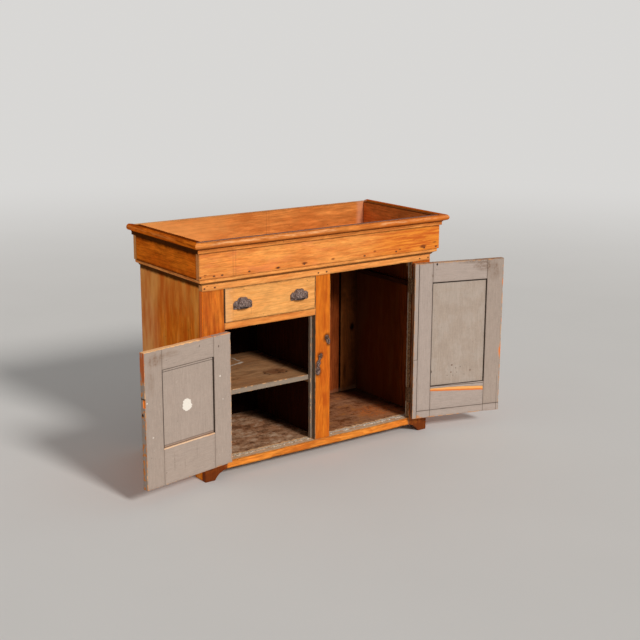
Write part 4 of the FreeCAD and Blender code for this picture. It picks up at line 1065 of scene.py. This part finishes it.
# Small marks on the doors' painted faces: distance from the hinge, height, half width, half height,
# colour, strength
DOOR_SPOTS = {
    "left": ((58, 435, 4, 4, WHITE, 0.9), (45, 341, 3.5, 3, WHITE, 0.8), (411, 406, 3.5, 3.5, WHITE, 0.9),
             (387, 271, 4, 3.5, WHITE, 0.8), (63, 553, 4, 6, SMUDGE_AND_SHADE, 0.8), (158, 572, 3, 6, SMUDGE_AND_SHADE, 0.7),
             (372, 560, 46, 30, (120, 88, 62), 0.75), (300, 570, 50, 16, (122, 94, 70), 0.45),
             (392, 480, 24, 60, (122, 96, 74), 0.4), (330, 120, 5, 3, SMUDGE_AND_SHADE, 0.5),
             (290, 150, 3, 44, SMUDGE_AND_SHADE, 0.4), (180, 170, 3, 40, SMUDGE_AND_SHADE, 0.3), (240, 130, 2.5, 30, SMUDGE_AND_SHADE, 0.3)),
    # the first right-hand spot is near black: a hole's painted shade
    "right": ((103, 748, 5, 6, (26, 16, 12), 1.0), (330, 728, 66, 26, (112, 84, 62), 0.7),
              (290, 748, 100, 9, (106, 82, 62), 0.6), (376, 705, 36, 46, (118, 92, 72), 0.5),
              (230, 285, 3, 3, SMUDGE_AND_SHADE, 0.7), (208, 282, 3, 3, SMUDGE_AND_SHADE, 0.7), (196, 250, 3, 3, SMUDGE_AND_SHADE, 0.6),
              (250, 250, 3, 2.5, SMUDGE_AND_SHADE, 0.6), (168, 252, 3, 3, SMUDGE_AND_SHADE, 0.6), (214, 262, 2.5, 3, SMUDGE_AND_SHADE, 0.6),
              (186, 265, 5, 4, (112, 76, 52), 0.8), (189, 297, 5, 4, (100, 70, 52), 0.8),
              (278, 266, 4, 5, (106, 76, 58), 0.7), (90, 275, 5, 9, SMUDGE_AND_SHADE, 0.8), (84, 700, 5, 9, (112, 90, 72), 0.5)),
}
# Larger marks than this are broken up by grit and streaks
SOLID_MARK = 9
# Where a panel meets the frame: width of the dark line, painted shade of the recess, at the hinge side, free side and
# top
PANEL_SHADE_LINES = {"left": (1.6, 7.5, 1.0), "right": (5.0, 1.6, 6.0)}
# A notch in the left door's free edge: heights, depth and how far it reaches in from the painted face
NOTCH_LOW, NOTCH_HIGH, NOTCH_DEPTH, NOTCH_REACH = 390, 420, 2.5, 11
# What is left of a paper label: its middle across and upright, then its half sizes
SCRAP = (218, 356, 23, 24.5)


def door_sizes(side):
    """The door's outline, its panel's opening and its planes, as distances from the hinge in millimetres."""
    start = f"{side}_door_"
    way = 1 if side == "left" else -1
    spans = {node[len(start):]: span([corner / MM for box in boxes(node) for corner in box])
             for node in frame["nodes"] if node.startswith(start) and not node.endswith(("_leaves", "_screws"))}
    low, high = span([corner for pair in spans.values() for corner in pair])

    def out(pair):
        return sorted(abs(corner.x) for corner in pair)
    return SimpleNamespace(way=way, reach=out((low, high)), rise=(low.z, high.z),
                           open_x=(out(spans["hinge_stile"])[1], out(spans["free_stile"])[0]),
                           open_z=(spans["bottom_rail"][1].z, spans["top_rail"][0].z),
                           back=spans["hinge_stile"][1].y, panel_back=spans["panel"][1].y)


def paper_scrap(s):
    """A ragged scrap of paper with a creased face."""
    at_x, at_z, half_x, half_z = SCRAP
    point = s.vector((s.across * 0.05, 9.4, s.z * 0.05))
    ragged = s.noise(point, 4.5, 4.0, 0.7)
    far = (((s.across - at_x) / half_x) ** 2.6 + ((s.z - at_z) / half_z) ** 2.6) ** (1 / 2.6)
    far = far + (s.noise(point, 1.0, 1.0) * 0.7 - 0.33) + (ragged - 0.5) * 0.5
    return far.fall(0.96, 1.02) * ragged.step(0.36, 0.44, 0.86, 1.0)


def left_rims(s, d, rim, top):
    """The left door's edges: tan at the top, redder above the notch, bare in the notch with a black line above it, and
    a hole below it painted near black as its shade.
    """
    orange = (s.rough * 90 + s.across).fall(190, 215)
    tan = s.mix(orange * 0.7, (250, 196, 140), (222, 116, 50))
    s.tint(top * rim * 0.8, tan)
    worn_top = (s.rough * -12 + (d.rise[1] - s.z)).fall(-4.5, -3.0)
    s.wear(worn_top * s.across.step(150, 215, 0.3, 1.0) * s.across.step(88, 96), tan, 0.85)
    free = s.across.step(d.reach[1] - 1.6, d.reach[1] - 0.8)
    s.tint(free * s.z.step(470, 500) * 0.7, (196, 92, 46))
    # a hole, painted near black as its shade
    s.wear(free * s.spot(s.y, d.back - 14, 7, s.z, 361, 8, 1.0), (10, 7, 6))
    floor, wall = d.reach[1] - NOTCH_DEPTH, d.back - NOTCH_REACH
    notch = s.across.step(floor - 0.6, floor - 0.3) * s.z.inside(NOTCH_LOW - 0.4, NOTCH_HIGH + 0.4, 0.3)
    s.wear(notch * s.y.step(wall - 0.6, wall - 0.3), (246, 138, 50), 0.9)
    above = s.across.step(d.reach[1] - 3, d.reach[1] - 2) * s.z.inside(NOTCH_HIGH - 1, NOTCH_HIGH + 5, 1)
    s.wear(above * 0.9, (20, 12, 8))


def right_rims(s, d, rim, top):
    """The right door's hinge edge and top are nearly black."""
    hinge = s.across.fall(d.reach[0] + 0.9, d.reach[0] + 2.2)
    dark = most(hinge, top * 0.75) * rim
    s.tint(dark * 0.94, s.mix(s.streak.step(0.42, 0.6), (72, 48, 30), (168, 124, 84)))
    s.mask = s.mask * (1 - dark * 0.86)


def panel_marks(s, d, side):
    """Dark lines where the panel meets its frame: painted shade of the recess."""
    below, above = s.z - d.open_z[0], d.open_z[1] - s.z
    gaps = (s.across - d.open_x[0], d.open_x[1] - s.across, above)
    lines = [gap.fall(width - 0.7, width + 0.7, 0.92) for gap, width in zip(gaps, PANEL_SHADE_LINES[side])]
    lines.append(below.fall(1.2, 2.4, 0.9))
    if side == "left":
        lines += [below.inside(8.0, 10.5, 0.7) * 0.55, above.inside(8.5, 11.5, 0.7) * 0.6]
        s.stain(below.fall(7.0, 9.0, 0.45), (132, 94, 66))
    s.stain(most(*lines), (44, 34, 28))


def frame_marks(s, d, side, face):
    """Dark lines round the opening, dirt and painted shade, and darker recess walls, painted shade."""
    # painted shade at the opening's arris and on the recess walls
    opening = s.across.inside(d.open_x[0] - 1.7, d.open_x[1] + 1.7, 0.5)
    s.stain(opening * s.z.inside(d.open_z[0] - 0.4, d.open_z[1] + 1.7, 0.5) * 0.7, (60, 46, 38))
    s.stain((1 - face) * s.outer.step(3, 5) * (0.75 if side == "left" else 0.45), (58, 46, 38))


def left_lip(s, d):
    """The left bottom rail's upper arris is worn to pale wood."""
    lip = (s.rough * 5 + s.z).step(d.open_z[0] - 2.6, d.open_z[0] - 0.6)
    s.wear(lip, s.mix(s.patch.step(0.4, 0.6), (246, 210, 176), (214, 150, 98)), 0.75)


def right_wedge(s, d):
    """A long bare wedge along the right bottom rail's top, a painted shadow along its upper edge, and a crack above
    it.
    """
    share = (s.across - d.open_x[0]) / (d.open_x[1] - d.open_x[0])
    uneven = s.rough * 3 + s.z
    upper = share * -12.6 + (d.open_z[0] - 8.4) + (share * math.pi).math("SINE") * 3.5
    depth = uneven - (share * -18.4 + (d.open_z[0] - 20.0))
    wedge = (upper - uneven).step(-0.6, 0.6) * depth.step(-0.6, 0.6)
    wedge = wedge * s.across.inside(d.open_x[0] - 2, d.open_x[1] - 2, 1.5)
    s.wear(wedge, s.mix(depth.step(5, 9), (226, 116, 46), (255, 184, 104)), 0.8)
    # painted shadow along the wedge's upper edge
    s.stain((uneven - upper).near(0.8, 0.8) * 0.5, SMUDGE_AND_SHADE)
    crack = (share * 6.5 + uneven).near(d.open_z[0] + 1.0, 1.3)
    s.stain(crack * s.across.inside(d.open_x[0] + 1, d.open_x[1] - 1, 1) * 0.75, (48, 36, 30))


def right_seam(s, face):
    """The seam of the added strip along the right door's hinge edge, and where it stops."""
    s.stain(s.across.near(21.5, 1.4) * face * s.z.step(335, 339, 0.3, 0.85), (40, 30, 24))
    s.stain(s.z.near(337, 1.2) * s.across.fall(21, 22) * 0.8, SMUDGE_AND_SHADE)


def strip_marks(s, d):
    """The joints of the boards above go on across the added bottom strip; one corner is bare."""
    for at in (*d.open_x, d.reach[1] - 13):
        s.stain(s.across.near(at, 1.1) * 0.8, SMUDGE_AND_SHADE)
    s.stain(s.z.step(s.high.z - 2.2, s.high.z - 1.4, 0.0, 0.7), SMUDGE_AND_SHADE)
    s.mask = s.mask * (1 - s.spot(s.across, 24, 20, s.z, 78, 14, 0.9))


def torn_edge(s, d):
    """A sliver low on the right door's free stile, and its torn edge."""
    s.stain(s.across.near(d.reach[1] - 13, 0.9) * s.z.fall(228, 232) * 0.6, SMUDGE_AND_SHADE)
    for at, half, depth in ((650, 26, 7), (345, 44, 15), (560, 10, 5), (480, 14, 5)):
        s.wear(s.spot(s.across, d.reach[1] + 1, depth, s.z, at, half, 1.0), (232, 118, 42), 0.8)


def door_coat(side, part, d):
    """Grey paint on the inner side of a door, with dark joints, worn edges and its own marks."""
    def cover(s):
        s.across = s.x * d.way
        s.outer = least(s.across - d.reach[0], d.reach[1] - s.across, s.z - d.rise[0], d.rise[1] - s.z)
        inner = s.y.step(d.panel_back - 1.5, d.panel_back - 0.5)
        flaking = s.rough.step(0.4, 0.48)
        if side == "left":
            bare_top = s.z.step(d.rise[1] - 1.6, d.rise[1] - 0.8) * (s.rough * 240 + s.across).step(238, 250)
            upper = s.z.step(470, 490) * s.across.step(d.reach[1] - 2, d.reach[1] - 1) * s.streak.step(0.44, 0.5)
            flaking = flaking * (1 - bare_top) * (1 - upper)
        return s.mix(s.outer.fall(0.7, 1.6), inner, flaking)

    def arris(s):
        return s.outer + (d.back - s.y).math("MAXIMUM", 0.0)

    def details(s):
        face = s.y.step(d.back - 2.2, d.back - 1.2)
        rim = s.outer.fall(0.9, 2.2)
        rims = left_rims if side == "left" else right_rims
        rims(s, d, rim, s.z.step(d.rise[1] - 2.2, d.rise[1] - 1.2))
        if part == "panel":
            panel_marks(s, d, side)
        else:
            frame_marks(s, d, side, face)
        if part == "bottom_rail":
            (left_lip if side == "left" else right_wedge)(s, d)
        if side == "right" and part in ("edge_strip", "hinge_stile"):
            right_seam(s, face)
        if part == "bottom_strip":
            strip_marks(s, d)
        if side == "right" and part == "free_stile":
            torn_edge(s, d)
        for at_x, at_z, half_x, half_z, tone, strength in DOOR_SPOTS[side]:
            if (s.low.x - half_x < at_x * d.way < s.high.x + half_x
                    and s.low.z - half_z < at_z < s.high.z + half_z):
                spot = s.spot(s.across, at_x, half_x, s.z, at_z, half_z, strength)
                if max(half_x, half_z) > SOLID_MARK:
                    spot = spot * s.grit.step(0.4, 0.6, 0.35, 1.0) * s.streak.step(0.36, 0.56, 0.3, 1.0)
                s.stain(spot, tone)
        if part == "panel" and side == "left":
            s.stain(paper_scrap(s), WHITE)
    if part == "free_stile":
        tone = FREE_GREY
    elif side == "left":
        tone = LEFT_GREY
    else:
        tone = GREY if part == "panel" else FRAME_GREY
    return painted(cover, arris=arris, details=details, joint=0.4 if side == "left" else 0.65, tone=tone)


def cut_notch(piece, low, high):
    """Take a box out of a piece on the left door."""
    cutter = add_object("notch", mesh_data("notch", board_mesh(low, high, 2, 1.0, 0.3 * MM, 0), DOOR["left"]))
    modifier = piece.modifiers.new("notch", "BOOLEAN")
    modifier.operation = "DIFFERENCE"
    modifier.solver = "EXACT"
    modifier.object = cutter
    weighted = piece.modifiers["flat_faces"]
    weighted.show_viewport = False
    depsgraph = bpy.context.evaluated_depsgraph_get()
    cut = bpy.data.meshes.new_from_object(piece.evaluated_get(depsgraph))
    weighted.show_viewport = True
    piece.modifiers.remove(modifier)
    piece.data = cut
    bpy.data.objects.remove(cutter)


for side, first_seed, parts in (("left", 40.3, DOOR_PARTS), ("right", 60.3, DOOR_PARTS + STRIPS)):
    sizes = door_sizes(side)
    ends = sorted(sizes.way * value * MM for value in sizes.open_x)

    def between_stiles(low, high):
        return Vector((ends[0], low.y, low.z)), Vector((ends[1], high.y, high.z))

    for number, (part, axis) in enumerate(parts):
        pieces = box_board(f"{side}_door_{part}", axis, first_seed + number * 2.1,
                           trim=between_stiles if part in ("top_rail", "bottom_rail") else None,
                           tones=DOOR_WOOD, contrast=0.5, paint=door_coat(side, part, sizes))
        if side == "left" and part == "free_stile":
            edge, back = sizes.reach[1], sizes.back
            cut_notch(pieces[0], Vector((edge - NOTCH_DEPTH, back - NOTCH_REACH, NOTCH_LOW)) * MM,
                      Vector((edge + 5, back + 5, NOTCH_HIGH)) * MM)

# ---- iron


def iron(name, rust, tone, pale, metal=0.1, blotch=0.2, shaded_arcs=()):
    """Old cast iron: dark, a little rusty, lighter in blotches that are partly wear and partly painted highlights,
    with painted shade under each given arc.
    """
    s = Shader(name)
    grain = s.noise(s.here, 0.55, 5.0, 0.65)
    cloud = s.noise(s.here, blotch, 3.0, 0.6)
    s.colour = s.mix(cloud.step(0.4, 0.65), tone, pale)
    s.tint(grain.step(0.52, 0.7) * rust, (112, 62, 36))
    s.tint(grain.step(0.45, 0.3) * 0.6, (34, 26, 22))
    # painted shade under each pull's cup
    for at_x, half_x, at_z, half_z in shaded_arcs:
        s.tint(s.x.near(at_x, half_x, 3) * s.z.near(at_z, half_z, 0.8) * 0.9, (18, 11, 9))
    return s.done(cloud * 0.35 + 0.35, 0.2, grain, 0.5, 0.5 * MM, metal)


PULLS = ("left_pull", "right_pull")
PULL_MIDDLES = [sum(corner.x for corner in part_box(node)) / 2 / MM for node in PULLS]
PULL_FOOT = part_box("left_pull")[0].z / MM
rusty = iron("rusty_iron", 0.6, (74, 52, 40), (104, 78, 60), metal=0.3, blotch=0.12)
dark = iron("dark_iron", 0.3, (72, 56, 50), (158, 136, 128), blotch=0.3,
            shaded_arcs=[(middle, 21, PULL_FOOT + 5.0, 3.0) for middle in PULL_MIDDLES])
catch = iron("catch_iron", 0.5, (58, 42, 36), (150, 122, 110))
daubed = iron("daubed_iron", 0.5, (88, 66, 46), (150, 116, 82), metal=0.0)

# ---- cup pulls

PULL_COLUMNS = 108
PULL_ROWS = 44
PULL_WALL = 2.4
# The plate round the dome, which is flat this near a screw and joins the casting by that distance
PLATE = 2.2
SCREW_FLAT, SCREW_BLEND = 4.8, 6.4
HOLLOW_SHARE = 0.985
BEAD_RADIUS, BEAD_RISE = 2.4, 1.3
# The small beads round the casting's edge: distance from its middle, and height
BEADS = ((31, 21), (36, 15), (30.5, 11), (24.5, 24), (14, 33), (0, 41))


def smooth(value, low, high):
    share = min(1.0, max(0.0, (value - low) / (high - low)))
    return share * share * (3 - 2 * share)


def bow(share):
    """The upper half of a circle's outline, or nothing beyond it."""
    return math.sqrt(max(0.0, 1 - share ** 2))


def pull_front(x, rise, half, tall, proud):
    """How far the casting stands out, in millimetres, at a place on its face."""
    across = abs(x)
    dome = math.sqrt(max(0.0, 1 - (across / 27) ** 2 - (rise / (tall + 0.5)) ** 2) + 0.004) - 0.063
    wing = smooth(half - across, 1.5, 9) * smooth(across, 18, 27)
    depth = PLATE + (proud - 4.2) * dome + 3.0 * wing * smooth(rise, -2, 3) * smooth(31 - rise, 0, 6)
    on_dome = smooth(dome, 0.05, 0.35)
    angle = math.atan2(rise + 3, x)
    depth += 0.75 * math.cos(angle * 13) * on_dome * smooth(math.hypot(x, rise + 3), 15, 22)
    depth += 1.3 * math.exp(-(x / 2.1) ** 2) * on_dome * smooth(rise, 9, 15)
    depth += 0.9 * smooth(3.6 - rise, -0.4, 0.4) - 0.8 * smooth(rise, 3.4, 4.4) * smooth(6.6 - rise, 0, 1)
    return depth + sum(BEAD_RISE * bow(math.hypot(across - bead_x, rise - bead_z) / BEAD_RADIUS)
                       for bead_x, bead_z in BEADS)


def cup_pull(node, screw):
    """A cast cup: a ribbed dome, shoulders with scalloped ends, flat round its screws, open below."""
    low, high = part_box(node)
    middle = (low.x + high.x) / 2
    half, proud, tall = (high.x - low.x) / 2 / MM, (high.y - low.y) / MM, (high.z - low.z) / MM
    screw_x, screw_z = abs(screw.x - middle) / MM, (screw.z - low.z) / MM
    mesh = bmesh.new()
    outer, inner = [], []
    for row in range(PULL_ROWS + 1):
        up = row / PULL_ROWS
        scallop = abs(math.sin(3 * math.pi * (0.04 + up * 0.92))) ** 0.6
        outer.append([])
        inner.append([])
        for column in range(PULL_COLUMNS + 1):
            across = column / PULL_COLUMNS * 2 - 1
            x = across * half * (1 - 0.055 * (1 - scallop) * smooth(abs(across), 0.8, 0.95))
            shoulder = 32.5 - 8.0 * smooth(abs(x), 32, half)
            crown = 17.5 + (tall - 17.5) * max(0.0, 1 - abs(x / 26.5) ** 3.6) ** 0.5
            bottom = 2.4 * max(0.0, 1 - (x / 29) ** 2) + 3.5 * smooth(abs(x), half - 6, half) ** 2
            height = (max(shoulder, crown) - bottom) * up
            near_screw = smooth(math.hypot(abs(x) - screw_x, bottom + height - screw_z), SCREW_FLAT, SCREW_BLEND)
            depth = min(PLATE + (pull_front(x, height, half, tall, proud) - PLATE) * near_screw, proud)
            hollow = max(0.2, depth - PULL_WALL)
            outer[-1].append(mesh.verts.new((middle + x * MM, high.y - depth * MM, low.z + (bottom + height) * MM)))
            inner[-1].append(mesh.verts.new((middle + x * HOLLOW_SHARE * MM, high.y - hollow * MM,
                                             low.z + (bottom + height * HOLLOW_SHARE) * MM)))
    for rows in (outer, inner):
        for row, following in zip(rows, rows[1:]):
            for index in range(PULL_COLUMNS):
                mesh.faces.new((row[index], row[index + 1], following[index + 1], following[index]))

    def rim(rows):
        return rows[0] + [row[-1] for row in rows[1:]] + rows[-1][-2::-1] + [row[0] for row in rows[-2:0:-1]]
    front, back = rim(outer), rim(inner)
    for index in range(len(front)):
        after = (index + 1) % len(front)
        mesh.faces.new((front[index], back[index], back[after], front[after]))
    finish_piece(f"{node}_cup", mesh, node, dark)


screws = [(low + high) / 2 for low, high in boxes("pull_screws")]
for node in PULLS:
    low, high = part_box(node)
    cup_pull(node, next(screw for screw in screws if low.x < screw.x < high.x))

# ---- turn catches

CATCH_SIDES = 20
LOBE_STEP = 0.8
# The rounded lobes of each catch, from its pivot: across, upright, radius and height
LOBES = {
    "left_catch": ((7, 9.5, 1.5, 1.5), (5, 7, 5.8, 4.2), (3, 2, 6.4, 4.4), (0, -3, 10, 5), (-4, -12, 6.2, 4.2),
                   (-6, -18, 6, 4), (-9, -28, 10.5, 5), (-11, -38, 8.5, 4.6), (-12, -44, 7, 4.6), (-12, -52, 11.4, 5),
                   (-12, -62, 11.6, 5), (-12, -71, 10.4, 5), (-12, -77, 6, 4.5), (-12, -79.5, 1.2, 1.5)),
    "right_catch": ((-2, 8.5, 1.5, 1.5), (-1.4, 6.5, 7, 4), (1, 0, 9.8, 5), (4.5, -8, 9.6, 5), (8, -17, 10, 5),
                    (10, -24, 8, 4.6), (12, -29.5, 4.6, 3), (13, -32.4, 1, 1)),
}


def lobed_catch(node, pivot, lobes):
    """A cast turn catch: rounded lobes along a bent line."""
    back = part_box(node)[1].y / MM
    lobes = [(pivot.x / MM + x, pivot.z / MM + z, *size) for x, z, *size in lobes]
    line = []
    for (x0, z0, r0, t0), (x1, z1, r1, t1) in zip(lobes, lobes[1:]):
        steps = max(2, int(math.hypot(x1 - x0, z1 - z0) / LOBE_STEP))
        for share in (step / steps for step in range(steps)):
            swell = smooth(share, 0, 1)
            line.append((x0 + (x1 - x0) * share, z0 + (z1 - z0) * share,
                         r0 + (r1 - r0) * swell, t0 + (t1 - t0) * swell))
    line.append(lobes[-1])
    rings = []
    for index, (x, z, radius, height) in enumerate(line):
        before, after = line[max(0, index - 1)], line[min(len(line) - 1, index + 1)]
        along = Vector((after[0] - before[0], 0, after[1] - before[1])).normalized()
        side = Vector((along.z, 0, -along.x))
        ring = []
        for turn in range(CATCH_SIDES):
            angle = 2 * math.pi * turn / CATCH_SIDES
            point = Vector((x, back, z)) + side * radius * math.cos(angle)
            point.y -= 0.2 + height * max(0.0, math.sin(angle))
            ring.append(point * MM)
        rings.append(ring)
    finish_piece(f"{node}_casting", rings_to_mesh(rings), node, catch)


for (node, lobes), (low, high) in zip(LOBES.items(), boxes("catch_pivots")):
    lobed_catch(node, (low + high) / 2, lobes)

for finish, nodes in ((daubed, ("case_hinge_leaves", "case_hinge_screws", "hinge_pins", "left_door_hinge_leaves",
                                "left_door_hinge_screws", "right_door_hinge_leaves", "right_door_hinge_screws")),
                      (rusty, ("case_nails", "catch_pivots", "pull_screws"))):
    for node in nodes:
        frame["nodes"][node].data.materials.clear()
        frame["nodes"][node].data.materials.append(finish)

bpy.context.scene.view_settings.view_transform = "Standard"
